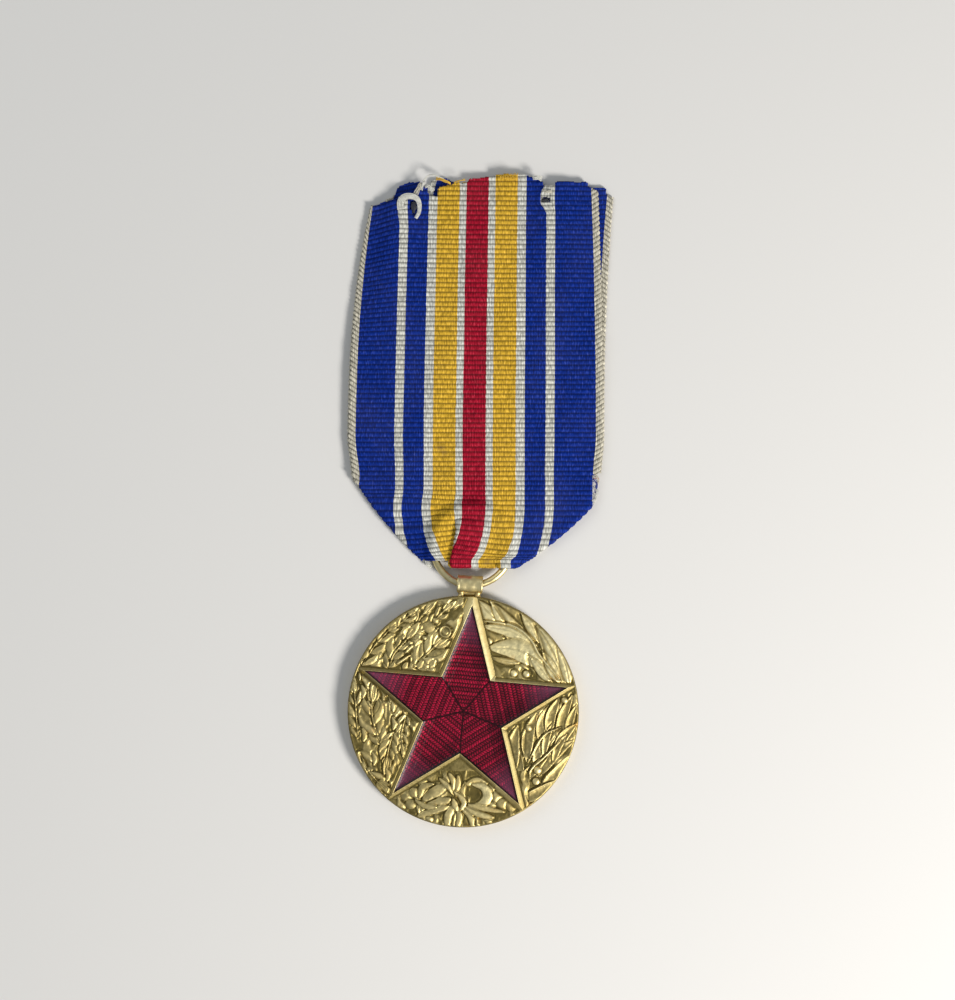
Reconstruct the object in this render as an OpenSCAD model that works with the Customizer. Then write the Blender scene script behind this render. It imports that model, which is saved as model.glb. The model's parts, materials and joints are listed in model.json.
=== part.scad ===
// Military service medal on its folded ribbon, lying face up on a flat surface.
// +X is the wearer's-left side of the face, +Y runs from the medal to the ribbon's top, +Z is the face.
// The origin is the centre of the underside of the whole object. All sizes are in millimetres.

/* [Overall] */
// Length from the lowest point of the disc to the ribbon's top edge
overall_l = 94.2; // [93.6:0.1:94.8]
// Width across the whole object, which is the ribbon at its widest
overall_w = 38.2; // [38.0:0.1:38.6]

/* [Disc] */
// Diameter of the struck disc
disc_d = 33.4; // [32.8:0.1:34]
// Thickness of the disc at its field, between the leaves
field_t = 1.9; // [1.7:0.05:2.1]
// Height of the leaves, the rim and the star's border above the field
relief_h = 0.35; // [0.2:0.05:0.4]
// Width of the raised rim round the disc
rim_w = 0.45; // [0.3:0.05:0.6]
// Angle by which the medal has swayed round its ring, clockwise
sway = 3; // [1:0.5:4]

/* [Star] */
// Radius of the star's five tips
star_r = 15.5; // [15.3:0.1:15.8]
// Radius of the star's five inner corners
star_inner_r = 5.95; // [5.6:0.05:6.3]
// Width of the raised border along the star
border_w = 0.6; // [0.4:0.05:0.7]
// Depth of the star's cell below the field
cell_depth = 0.85; // [0.7:0.05:1]
// Thickness of the enamel in the cell
enamel_t = 0.55; // [0.4:0.05:0.65]
// Angle by which the star is turned from the line through the tube, clockwise
star_turn = 1.8; // [0:0.1:3]

/* [Tube and ring] */
// Length of the suspension tube
tube_l = 3.7; // [3.5:0.1:3.8]
// Outer diameter of the suspension tube
tube_d = 2.6; // [2.5:0.05:2.7]
// Distance from the disc's centre to the tube's axis
tube_rise = 18.46; // [18.4:0.02:18.6]
// Radius of the ring, at the middle of its wire
ring_r = 5.6; // [5.5:0.05:5.7]
// Diameter of the ring's wire
wire_d = 1.05; // [1:0.05:1.1]

/* [Ribbon] */
// Width of the woven ribbon
ribbon_w = 37; // [36.8:0.1:37.2]
// Width of the ribbon at its top edge, where its left side curls in
ribbon_top_w = 33.4; // [32.5:0.1:34]
// Thickness of the two layers pressed together at the top
pressed_t = 1.1; // [0.9:0.05:1.3]
// Thickness of the loop that holds the ring
loop_t = 2.3; // [2.2:0.05:2.35]
// Thickness of one layer of the woven ribbon
layer_t = 0.45; // [0.4:0.05:0.5]
// Height of the left folded corner above the object's middle
left_corner_y = 4.3; // [3.6:0.1:5]
// Height of the right folded corner above the object's middle
right_corner_y = 3.4; // [3.2:0.1:4]
// Radius of the two holes that a brooch pin has left
pin_hole_r = 0.6; // [0.4:0.05:0.7]

/* [Hidden] */
$fn = 96;
eps = 0.01;

disc_r = disc_d / 2;
face_t = field_t + relief_h;
wire_r = wire_d / 2;
mid_z = tube_d / 2;
points = 5;
point_step = 360 / points;

// The tube's straight bore takes the curved wire: half of the wire's rise over the tube's
// length lies on each side of the tube's axis.
wire_rise = ring_r - sqrt(ring_r * ring_r - tube_l * tube_l / 4);
bore_r = wire_r + wire_rise / 2 + 0.05;
ring_to_tube = ring_r - wire_rise / 2;

// Places of the disc, tube and ring: the medal hangs from the ring's centre, turned by sway.
disc_y = -overall_l / 2 + disc_r;
tube_y = disc_y + tube_rise * cos(sway);
ring_y = tube_y + ring_to_tube * cos(sway);
ring_x = -1.1;

// The loop is the ribbon's lower end, from its bend down to its fold inside the ring.
loop_z = mid_z - loop_t / 2;
fold_y = ring_y - 3.3;
fold_half_w = 3.5;
bend_y = ring_y + 7.8;
bend_gap = 0.15;
chamber_r = ring_r + wire_r + 0.25;
chamber_t = wire_d + 0.35;
left_x = -overall_w / 2;
right_x = left_x + ribbon_w;

// Corner tacks: a cross stitch of thread on the back of each folded corner.
thread_d = 2 * loop_z;
tack_half = 1.6;
left_tack = [ring_x - 8.4, bend_y - 4.2];
right_tack = [ring_x + 11, bend_y - 4.2];

// Corner points of a five-pointed star, tip first and clockwise
function star_points(tip_r, inner_r) = [
    for (i = [0 : 2 * points - 1])
        let (a = 90 - i * point_step / 2, r = i % 2 == 0 ? tip_r : inner_r) [r * cos(a), r * sin(a)]
];

// Distance of a star's edges from its centre
function star_edge(tip_r, inner_r) =
    tip_r * inner_r * sin(point_step / 2)
    / sqrt(tip_r * tip_r + inner_r * inner_r - 2 * tip_r * inner_r * cos(point_step / 2));

edge_r = star_edge(star_r, star_inner_r);
border_scale = (edge_r + border_w) / edge_r;
enamel_scale = (edge_r - eps) / edge_r;

// Where the left fold line crosses height y
function left_fold_x(y) = left_x + 0.7 + (left_corner_y - y) * 0.75;
function right_fold_x(y) = right_x - 0.6 + min(0, (y - right_corner_y + 2.6) * 1.1);

// Places children in the medal's own frame: the tube's axis along X at the origin, the disc
// below it, lying on the surface.
module in_medal() {
    translate([ring_x, ring_y, 0]) rotate([0, 0, -sway]) translate([0, -ring_to_tube, 0]) children();
}

// Places children at the disc's centre, with the star upright
module in_disc() {
    in_medal() translate([0, -tube_rise, 0]) rotate([0, 0, -star_turn]) children();
}

module star_prism(scale_by, height) {
    linear_extrude(height) polygon(star_points(star_r * scale_by, star_inner_r * scale_by));
}

// Puts a shape on the field at a clock angle and radius, turned by its own angle
module on_field(clock, radius, turn) {
    rotate([0, 0, -clock]) translate([0, radius, field_t - 0.2]) rotate([0, 0, turn]) children();
}

module laurel_leaf(l, w) {
    side_r = (l * l + w * w) / (4 * w);
    intersection() {
        translate([side_r - w / 2, 0, 0]) cylinder(r = side_r, h = relief_h + 0.15);
        translate([w / 2 - side_r, 0, 0]) cylinder(r = side_r, h = relief_h + 0.15);
    }
}

module oak_leaf(l, w) {
    for (i = [-1 : 1]) {
        translate([0, i * l / 3.4, 0]) cylinder(r = w / 2 - 0.12 * abs(i), h = relief_h + 0.15);
    }
}

module berry(r) {
    cylinder(r = r, h = relief_h + 0.1);
}

module bow_loop(r, w) {
    difference() {
        cylinder(r = r, h = relief_h + 0.1);
        translate([0, 0, -eps]) cylinder(r = r - w, h = relief_h + 0.2);
    }
}

module wreath() {
    for (a = [27, 99]) {
        on_field(a, 13.6, 70) laurel_leaf(5.2, 1.5);
        on_field(a + 9, 11.4, 55) laurel_leaf(4.6, 1.4);
        on_field(a + 22, 13.5, 60) laurel_leaf(5.0, 1.5);
        on_field(a + 16, 9.4, 30) laurel_leaf(3.4, 1.2);
        on_field(a + 9, 13.9, 0) berry(0.45);
    }
    for (a = [-27, -99]) {
        on_field(a, 13.6, -70) oak_leaf(4.4, 1.9);
        on_field(a - 9, 11.2, -40) oak_leaf(4.2, 1.8);
        on_field(a - 22, 13.6, -60) oak_leaf(4.4, 1.9);
        on_field(a - 10, 14.0, 0) berry(0.5);
    }
    on_field(180, 12.9, 0) berry(0.9);
    on_field(171, 12.0, 0) bow_loop(1.7, 0.6);
    on_field(189, 12.0, 0) bow_loop(1.7, 0.6);
    on_field(173, 14.7, -35) laurel_leaf(2.8, 0.9);
    on_field(187, 14.7, 35) laurel_leaf(2.8, 0.9);
}

// Struck disc: flat back, raised rim, leaves and bow on the field, and a star-shaped cell
module medal_disc() {
    color("darkgoldenrod") in_disc() difference() {
        union() {
            cylinder(r = disc_r, h = field_t);
            difference() {
                cylinder(r = disc_r, h = face_t);
                translate([0, 0, field_t]) cylinder(r = disc_r - rim_w, h = relief_h + 1);
            }
            intersection() {
                star_prism(border_scale, face_t);
                cylinder(r = disc_r, h = face_t);
            }
            intersection() {
                wreath();
                cylinder(r = disc_r - rim_w / 2, h = face_t);
            }
        }
        translate([0, 0, field_t - cell_depth]) star_prism(1, cell_depth + relief_h + 1);
    }
}

// Translucent enamel that fills the floor of the cell
module enamel_star() {
    color("crimson") in_disc() translate([0, 0, field_t - cell_depth]) star_prism(enamel_scale, enamel_t);
}

// Tube that the ring runs through, with its axis level with the middle of the ring
module suspension_tube() {
    color("goldenrod") in_medal() translate([0, 0, mid_z]) rotate([0, 90, 0]) difference() {
        cylinder(d = tube_d, h = tube_l, center = true);
        cylinder(r = bore_r, h = tube_l + 1, center = true);
    }
}

// Braze that joins the tube to the disc's rim
module solder_bead() {
    bead_w = 3;
    bead_low = 0.4;
    bead_t = 1.5;
    color("khaki") in_medal() difference() {
        translate([-bead_w / 2, disc_r - tube_rise - 0.6, bead_low]) cube([bead_w, 1.3, bead_t]);
        translate([0, -tube_rise, -1]) cylinder(r = disc_r, h = face_t + 2, $fn = 720);
        translate([0, 0, mid_z]) rotate([0, 90, 0])
            cylinder(d = tube_d, h = tube_l + 1, center = true, $fn = 360);
    }
}

module suspension_ring() {
    color("gold") translate([ring_x, ring_y, mid_z]) rotate_extrude() translate([ring_r, 0]) circle(r = wire_r);
}

// Outline of the ribbon above its bend; the back layer shows past the front at the top right
module ribbon_outline(top_right_x) {
    low_y = bend_y + loop_t / 2 + bend_gap;
    top_y = overall_l / 2;
    top_left_x = right_x - 0.8 - ribbon_top_w;
    polygon([
        [left_fold_x(low_y), low_y],
        [left_x + 0.7, left_corner_y],
        [left_x, left_corner_y + 6],
        [left_x + 0.6, left_corner_y + 20.5],
        [left_x + 2.2, left_corner_y + 33.6],
        [top_left_x, top_y - 3.4],
        [top_left_x + 3, top_y - 1.2],
        [top_left_x + 13, top_y],
        [top_left_x + 22, top_y],
        [right_x - 1, top_y - 0.6],
        [top_right_x, top_y - 2.2],
        [right_x + 0.4, left_corner_y + 20],
        [right_x, left_corner_y + 6],
        [right_fold_x(right_corner_y), right_corner_y],
        [right_fold_x(low_y), low_y]
    ]);
}

// Side view of the two layers: pressed together at the top, apart where they meet the loop
module ribbon_side() {
    low_y = bend_y + loop_t / 2 + bend_gap;
    polygon([
        [low_y, loop_z],
        [low_y + 8, 0],
        [overall_l / 2 + 1, 0],
        [overall_l / 2 + 1, pressed_t],
        [low_y + 20, pressed_t],
        [low_y + 8, pressed_t + 0.55],
        [low_y, loop_z + loop_t]
    ]);
}

// The ribbon's two long layers, with the two pin holes near the top
module ribbon() {
    split_z = pressed_t / 2;
    color("royalblue") difference() {
        intersection() {
            union() {
                linear_extrude(split_z) ribbon_outline(overall_w / 2);
                translate([0, 0, split_z]) linear_extrude(tube_d) ribbon_outline(right_x - 0.8);
            }
            translate([-overall_w, 0, 0]) rotate([90, 0, 90]) linear_extrude(2 * overall_w) ribbon_side();
        }
        translate([left_x + 9, overall_l / 2 - 4.8, -1]) cylinder(r = pin_hole_r, h = tube_d + 2);
        translate([right_x - 8.7, overall_l / 2 - 3.4, -1]) cylinder(r = pin_hole_r, h = tube_d + 2);
    }
}

module loop_outline() {
    polygon([
        [left_fold_x(bend_y), bend_y],
        [left_fold_x(fold_y + 4.1), fold_y + 4.1],
        [ring_x - 6.8, fold_y + 1.5],
        [ring_x - 3.8, fold_y + 0.8],
        [ring_x + 5.4, fold_y + 0.8],
        [ring_x + 9.3, fold_y + 2.3],
        [right_fold_x(right_corner_y - 2.8), right_corner_y - 2.8],
        [right_fold_x(bend_y), bend_y]
    ]);
}

// Lower end of the ribbon: folded corners outside, and the fold that passes through the ring
module ribbon_loop() {
    bend_left = left_fold_x(bend_y);
    color("gold") difference() {
        union() {
            difference() {
                union() {
                    translate([0, 0, loop_z]) linear_extrude(loop_t) loop_outline();
                    translate([bend_left, bend_y, mid_z]) rotate([0, 90, 0])
                        cylinder(d = loop_t, h = right_fold_x(bend_y) - bend_left);
                }
                translate([ring_x, ring_y, mid_z - chamber_t / 2]) cylinder(r = chamber_r, h = chamber_t);
            }
            fold();
        }
        tack(left_tack);
        tack(right_tack);
    }
}

// The turn of the ribbon inside the ring: half a shell round the X direction
module fold() {
    turn_r = loop_t / 2;
    translate([ring_x - fold_half_w, fold_y + turn_r, mid_z]) rotate([0, 90, 0]) difference() {
        cylinder(r = turn_r, h = 2 * fold_half_w);
        translate([0, 0, -eps]) cylinder(r = turn_r - layer_t - 0.1, h = 2 * fold_half_w + 1);
        translate([-turn_r, eps, -eps]) cube([2 * turn_r, turn_r, 2 * fold_half_w + 1]);
    }
}

// Cross stitch that holds a folded corner down on the back
module tack(place) {
    translate([place[0], place[1], loop_z]) {
        for (a = [45, 135]) {
            rotate([0, 0, a]) rotate([0, 90, 0]) cylinder(d = thread_d, h = 2 * tack_half, center = true);
        }
    }
}

module left_corner_tack() {
    color("ivory") tack(left_tack);
}

module right_corner_tack() {
    color("ivory") tack(right_tack);
}

medal_disc();
enamel_star();
suspension_tube();
solder_bead();
suspension_ring();
ribbon();
ribbon_loop();
left_corner_tack();
right_corner_tack();
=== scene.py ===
"""Looks of a military service medal, built round its CAD frame, in mm until MM scales them."""
import json
import math

import bpy
import numpy as np
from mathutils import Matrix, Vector


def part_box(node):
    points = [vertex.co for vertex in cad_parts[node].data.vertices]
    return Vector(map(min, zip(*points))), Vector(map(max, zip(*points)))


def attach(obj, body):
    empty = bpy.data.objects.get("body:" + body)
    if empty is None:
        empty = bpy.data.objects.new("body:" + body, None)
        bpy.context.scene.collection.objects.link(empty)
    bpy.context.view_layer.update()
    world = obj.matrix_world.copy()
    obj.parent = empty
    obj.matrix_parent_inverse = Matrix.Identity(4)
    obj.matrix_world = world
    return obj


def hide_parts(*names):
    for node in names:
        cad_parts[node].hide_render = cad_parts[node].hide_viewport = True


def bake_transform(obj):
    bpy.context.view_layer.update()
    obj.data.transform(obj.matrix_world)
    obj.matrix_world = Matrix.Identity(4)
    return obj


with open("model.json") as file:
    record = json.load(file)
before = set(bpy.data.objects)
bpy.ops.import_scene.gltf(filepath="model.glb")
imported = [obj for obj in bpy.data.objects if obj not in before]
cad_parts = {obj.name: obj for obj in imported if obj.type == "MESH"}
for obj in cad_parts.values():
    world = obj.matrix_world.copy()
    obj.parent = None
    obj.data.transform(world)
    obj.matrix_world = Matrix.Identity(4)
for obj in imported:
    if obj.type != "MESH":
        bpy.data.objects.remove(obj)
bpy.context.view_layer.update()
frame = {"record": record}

MM = 0.001
JOINTS = {j["name"]: j for j in frame["record"]["behaviour"]["joints"]}


def box_mm(node):
    """Lowest and highest corner of a CAD node, in mm."""
    low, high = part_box(node)
    return np.array(low) / MM, np.array(high) / MM


# ---- places, from the frame
DISC_LOW, DISC_HIGH = box_mm("medal_disc")
DISC_R = (DISC_HIGH[0] - DISC_LOW[0]) / 2
DISC_X, DISC_Y = (DISC_LOW[:2] + DISC_HIGH[:2]) / 2
ENAMEL_LOW, ENAMEL_HIGH = box_mm("enamel_star")
TUBE = np.array(JOINTS["medal_swing"]["pos_m"]) / MM
RING = np.array(JOINTS["ring_turn"]["pos_m"]) / MM
SWAY = math.atan2(JOINTS["medal_swing"]["axis"][1], -JOINTS["medal_swing"]["axis"][0])
RING_LOW, RING_HIGH = box_mm("suspension_ring")
WIRE_R = (RING_HIGH[2] - RING_LOW[2]) / 2
RING_R = (RING_HIGH[0] - RING_LOW[0]) / 2 - WIRE_R
TUBE_LOW, TUBE_HIGH = box_mm("suspension_tube")
TUBE_R = (TUBE_HIGH[2] - TUBE_LOW[2]) / 2
FOLD_Y = box_mm("ribbon_loop")[0][1]
RIBBON_TOP = box_mm("ribbon")[1][1]


# ---- small tools
def smooth(x, low, high):
    """0 below low, 1 above high, and a smooth step between."""
    t = np.clip((x - low) / (high - low), 0, 1)
    return t * t * (3 - 2 * t)


def bell(x, width):
    """1 at 0, falling off smoothly on both sides over a width."""
    return np.exp(-((x / width) ** 2))


def steps_round(count):
    """The angles of even steps round a circle."""
    return np.arange(count) * math.tau / count


def mesh_object(name, points, faces, uv=None, **attributes):
    """A smooth-shaded mesh from points in mm, with a UV and float attributes per point."""
    corner = np.concatenate([np.asarray(f, np.int32).ravel() for f in faces])
    sizes = np.concatenate([np.full(len(f), np.shape(f)[1], np.int32) for f in faces])
    mesh = bpy.data.meshes.new(name)
    mesh.vertices.add(len(points))
    mesh.vertices.foreach_set("co", (np.asarray(points, float) * MM).ravel())
    mesh.loops.add(len(corner))
    mesh.loops.foreach_set("vertex_index", corner)
    mesh.polygons.add(len(sizes))
    mesh.polygons.foreach_set("loop_start", np.concatenate([[0], np.cumsum(sizes)[:-1]]))
    mesh.polygons.foreach_set("use_smooth", np.ones(len(sizes), bool))
    mesh.update(calc_edges=True)
    if uv is not None:
        layer = mesh.uv_layers.new(name="UVMap")
        layer.data.foreach_set("uv", np.asarray(uv, np.float32)[corner].ravel())
    for key, values in attributes.items():
        layer = mesh.attributes.new(key, "FLOAT", "POINT")
        layer.data.foreach_set("value", np.asarray(values, np.float32))
    mesh.validate()
    obj = bpy.data.objects.new(name, mesh)
    bpy.context.collection.objects.link(obj)
    return obj


def grid_faces(rows, cols, wrap=False):
    """Quads of a rows by cols grid of points. wrap joins the last column to the first."""
    i = np.arange(rows - 1)[:, None] * cols
    j = np.arange(cols if wrap else cols - 1)[None, :]
    k = (j + 1) % cols
    quads = np.stack([i + j, i + k, i + cols + k, i + cols + j], -1)
    return quads.reshape(-1, 4)


def turned(x, y, angle):
    """x and y turned by an angle, counter-clockwise."""
    c, s = math.cos(angle), math.sin(angle)
    return x * c - y * s, x * s + y * c


def tube_mesh(path, radii, sides=8):
    """Points and faces of a closed round tube along a path. Its ends close to a point."""
    path = np.asarray(path, float)
    radii = np.broadcast_to(radii, len(path)).astype(float)
    along = np.gradient(path, axis=0)
    along = np.vstack([along[:1], along, along[-1:]])
    along /= np.linalg.norm(along, axis=1)[:, None]
    path = np.vstack([path[:1], path, path[-1:]])
    radii = np.concatenate([[0.001], radii, [0.001]])
    side = np.cross(along, (0.31, 0.17, 1.0))
    side /= np.linalg.norm(side, axis=1)[:, None]
    up = np.cross(side, along)
    turn = steps_round(sides)
    ring = np.cos(turn)[None, :, None] * side[:, None] + np.sin(turn)[None, :, None] * up[:, None]
    points = (path[:, None] + ring * radii[:, None, None]).reshape(-1, 3)
    return points, grid_faces(len(path), sides, wrap=True)


def curve_points(knots, count):
    """A smooth path of count points through a few knots."""
    knots = np.asarray(knots, float)
    padded = np.vstack([2 * knots[0] - knots[1], knots, 2 * knots[-1] - knots[-2]])
    t = np.linspace(0, len(knots) - 1 - 1e-9, count)
    i = t.astype(int)
    f = (t - i)[:, None]
    a, b, c, d = padded[i], padded[i + 1], padded[i + 2], padded[i + 3]
    square, cube = 2 * a - 5 * b + 4 * c - d, 3 * b - a - 3 * c + d
    return 0.5 * (2 * b + (c - a) * f + square * f**2 + cube * f**3)


def eased_path(knots):
    """A path with three knots or more, rounded off."""
    return curve_points(knots, 3 * len(knots)) if len(knots) > 2 else np.asarray(knots, float)


def join(parts):
    """One array of points and one of faces from several (points, faces) pairs."""
    starts = np.cumsum([0] + [len(points) for points, _ in parts[:-1]])
    faces = np.concatenate([quads + start for (_, quads), start in zip(parts, starts)])
    return np.vstack([points for points, _ in parts]), faces


def chance(x, y, seed=0.0):
    """A fixed pseudo-random value, 0 to 1, for each pair of whole numbers."""
    value = np.sin(x * 127.1 + y * 311.7 + seed * 74.7) * 43758.5453
    return value - np.floor(value)


def soft_noise(x, y, seed=0.0):
    """Smooth noise, 0 to 1, with features about 1 across."""
    ix, iy = np.floor(x), np.floor(y)
    fx, fy = smooth(x - ix, 0, 1), smooth(y - iy, 0, 1)
    low = chance(ix, iy, seed) * (1 - fx) + chance(ix + 1, iy, seed) * fx
    high = chance(ix, iy + 1, seed) * (1 - fx) + chance(ix + 1, iy + 1, seed) * fx
    return low * (1 - fy) + high * fy


# ---- materials
class Shader:
    """A material's node tree, with short ways to add and join nodes."""

    def __init__(self, name):
        self.material = bpy.data.materials.new(name)
        self.material.use_nodes = True
        self.tree = self.material.node_tree
        self.surface = self.tree.nodes["Principled BSDF"]
        self.output = self.tree.nodes["Material Output"]

    def node(self, kind, inputs=(), **settings):
        """A new node with its settings and with what goes into each input."""
        made = self.tree.nodes.new("ShaderNode" + kind)
        for key, value in settings.items():
            setattr(made, key, value)
        for key, value in dict(inputs).items():
            self.feed(made.inputs[key], value)
        return made

    def feed(self, socket, value):
        """Joins a node or an output to an input, or gives the input a value."""
        if hasattr(value, "is_output"):
            self.tree.links.new(value, socket)
        elif isinstance(value, bpy.types.Node):
            self.tree.links.new(value.outputs[0], socket)
        else:
            socket.default_value = value

    def set(self, **inputs):
        """Sets inputs of the surface, with _ for each space in their names."""
        for key, value in inputs.items():
            self.feed(self.surface.inputs[key.replace("_", " ")], value)

    def math(self, operation, a, b=0.0):
        return self.node("Math", {0: a, 1: b}, operation=operation).outputs[0]

    def spread(self, value, low, high, to_low=0.0, to_high=1.0):
        """Maps low..high to to_low..to_high, and holds the ends."""
        keys = {"From Min": low, "From Max": high, "To Min": to_low, "To Max": to_high, "Value": value}
        return self.node("MapRange", keys).outputs[0]

    def mix(self, factor, a, b, blend="MIX"):
        made = self.node("Mix", {"Factor": factor}, data_type="RGBA", blend_type=blend)
        self.feed(made.inputs[6], a)
        self.feed(made.inputs[7], b)
        return made.outputs[2]

    def attribute(self, name):
        return self.node("Attribute", attribute_name=name).outputs["Fac"]

    def noise(self, scale, detail=4.0, roughness=0.6, at=None):
        """Noise at a place, which is the object's own coordinates where none is given."""
        keys = {"Scale": scale, "Detail": detail, "Roughness": roughness}
        made = self.node("TexNoise", keys)
        if at is None:
            at = self.node("TexCoord").outputs["Object"]
        self.feed(made.inputs["Vector"], at)
        return made.outputs["Fac"]

    def bands(self, value, stops):
        """Flat bands of colour along a value, from (start, colour) pairs."""
        ramp = self.node("ValToRGB", {0: value})
        bands = ramp.color_ramp
        bands.interpolation = "CONSTANT"
        while len(bands.elements) < len(stops):
            bands.elements.new(0.5)
        for element, (start, colour) in zip(bands.elements, stops):
            element.position = start
            element.color = colour
        return ramp.outputs[0]

    def bump(self, height, distance, strength=1.0):
        keys = {"Strength": strength, "Distance": distance, "Height": height}
        return self.node("Bump", keys).outputs["Normal"]


def rgb(red, green, blue):
    """A display colour, 0 to 255, as linear light with alpha."""
    return tuple((c / 255) ** 2.2 for c in (red, green, blue)) + (1.0,)


# ---- disc: outline of the star
POINTS = 5
HALF_STEP = math.pi / POINTS
STAR_R = 15.5
INNER_R = 5.95
STAR_TURN = math.radians(1.8)
STAR_TILT = -(SWAY + STAR_TURN)
NOTCH_X, NOTCH_Y = INNER_R * math.sin(HALF_STEP), INNER_R * math.cos(HALF_STEP)
EDGE_R = STAR_R * NOTCH_X / math.hypot(STAR_R - NOTCH_Y, NOTCH_X)
FLOOR_Z = ENAMEL_LOW[2]
FIELD_Z = 1.78
RIM_W = 0.35


def star_radius(angle):
    """Distance from the centre to the star's edge. The angle is clockwise from the top tip."""
    a = np.abs((angle + HALF_STEP) % (2 * HALF_STEP) - HALF_STEP)
    return STAR_R * NOTCH_X / (STAR_R * np.sin(a) + INNER_R * np.sin(HALF_STEP - a))


def star_columns(count):
    """Angles round the star, closer together where its edge runs nearly straight out."""
    fine = np.linspace(0, math.tau, 20001)
    radius = star_radius(fine)
    edge = np.hypot(np.gradient(radius, fine), radius)
    pace = np.concatenate([[0], np.cumsum((edge[1:] + edge[:-1]) / 2 + DISC_R)])
    return np.interp(np.arange(count) * pace[-1] / count, pace, fine)


def disc_points(angle, radius, z):
    """Points in the frame, from angles and radii in the star's own frame."""
    x, y = turned(radius * np.sin(angle), radius * np.cos(angle), STAR_TILT)
    return np.stack([x + DISC_X, y + DISC_Y, np.broadcast_to(z, x.shape)], -1)


# ---- disc: relief, in mm from its centre
CREASE_W = 0.17
VEIN_W = 0.11
VEIN_END = 0.93


class Relief:
    """A height field that leaves and strokes are laid on one over the other, over points x, y."""

    def __init__(self, x, y, height):
        self.x, self.y, self.height = x, y, height

    def nearest(self, path):
        """Distance to a path of points, the share of the way along it, and the side of it."""
        path = np.asarray(path, float)
        best = np.full(self.x.shape, 1e9)
        share = np.zeros_like(best)
        side = np.zeros_like(best)
        lengths = np.hypot(*np.diff(path, axis=0).T)
        starts = np.concatenate([[0], np.cumsum(lengths)])
        for i, (a, b) in enumerate(zip(path[:-1], path[1:])):
            d = b - a
            t = np.clip(((self.x - a[0]) * d[0] + (self.y - a[1]) * d[1]) / (d @ d), 0, 1)
            px, py = self.x - a[0] - t * d[0], self.y - a[1] - t * d[1]
            dist = np.hypot(px, py)
            closer = dist < best
            best = np.where(closer, dist, best)
            share = np.where(closer, (starts[i] + t * lengths[i]) / starts[-1], share)
            side = np.where(closer, np.sign(d[0] * py - d[1] * px), side)
        return best, share, side

    def near(self, path, margin):
        """The part of the field round a path, as a small Relief of its own, and where it is."""
        path = np.asarray(path, float)
        low, high = path.min(axis=0) - margin, path.max(axis=0) + margin
        inside = (self.x > low[0]) & (self.x < high[0]) & (self.y > low[1]) & (self.y < high[1])
        return Relief(self.x[inside], self.y[inside], self.height[inside]), inside

    def lay(self, inside, part, past_edge, surface, crease):
        """Lays a surface where past_edge is below 0, with a crease round it."""
        ground = part.height - crease * bell(past_edge, CREASE_W) * (past_edge > -0.05)
        cover = smooth(-past_edge, -0.02, 0.1)
        self.height[inside] = ground * (1 - cover) + surface * cover

    def leaf(self, base, tip, width, level=0.27, crown=0.13, bend=0.0, vein=0.07, crease=0.13):
        """A pointed leaf with a mid-vein on a curved axis. A negative crown makes it hollow."""
        base, tip = np.array(base, float), np.array(tip, float)
        across = np.array([-(tip - base)[1], (tip - base)[0]])
        path = curve_points([base, (base + tip) / 2 + across * bend, tip], 7)
        part, inside = self.near(path, width)
        dist, share, side = part.nearest(path)
        half = width / 2 * np.sin(math.pi * np.clip(share, 0.03, 0.97) ** 0.8) ** 0.7
        u = np.clip(dist / np.maximum(half, 0.05), 0, 1)
        surface = level + crown * (1 - u**2) + 0.04 * side * u
        if crown < 0:
            surface = surface + 0.1 * smooth(u, 0.5, 0.8)
        surface = surface - vein * bell(dist, VEIN_W) * (share < VEIN_END)
        self.lay(inside, part, dist - half, surface, crease)

    def stroke(self, path, width, level=0.26, crown=0.18, taper=0.5, crease=0.12):
        """A rounded ridge along a path that thins towards its ends."""
        path = eased_path(path)
        part, inside = self.near(path, width + 0.5)
        dist, share, _ = part.nearest(path)
        half = width / 2 * (1 - taper * np.abs(2 * share - 1) ** 2)
        surface = level + crown * np.sqrt(np.clip(1 - (dist / half) ** 2, 0, 1))
        self.lay(inside, part, dist - half, surface, crease)

    def dome(self, x, y, radius, level=0.2, crown=0.16, crease=0.08):
        """A berry or a round knob."""
        part, inside = self.near([(x, y)], radius + 0.5)
        away = np.hypot(part.x - x, part.y - y)
        surface = level + crown * np.clip(1 - (away / radius) ** 2, 0, 1)
        self.lay(inside, part, away - radius, surface, crease)

    def ring(self, x, y, radius, width, level=0.24, crown=0.16):
        """A rounded ridge in a circle."""
        part, inside = self.near([(x, y)], radius + width + 0.5)
        away = np.abs(np.hypot(part.x - x, part.y - y) - radius)
        surface = level + crown * np.sqrt(np.clip(1 - (away / width * 2) ** 2, 0, 1))
        self.lay(inside, part, away - width / 2, surface, 0.1)

    def groove(self, path, width, depth=0.2):
        """A rounded groove cut along a path."""
        path = eased_path(path)
        part, inside = self.near(path, width + 0.5)
        dist = part.nearest(path)[0]
        self.height[inside] -= depth * bell(dist, width / 2)

    def pit(self, x, y, radius, depth=0.2):
        """A soft round hollow."""
        part, inside = self.near([(x, y)], 2 * radius)
        self.height[inside] -= depth * bell(np.hypot(part.x - x, part.y - y), radius)


def each(lay, *rows):
    """Lays one shape after another, each from a row of its own values."""
    for row in rows:
        lay(*row)


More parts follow.
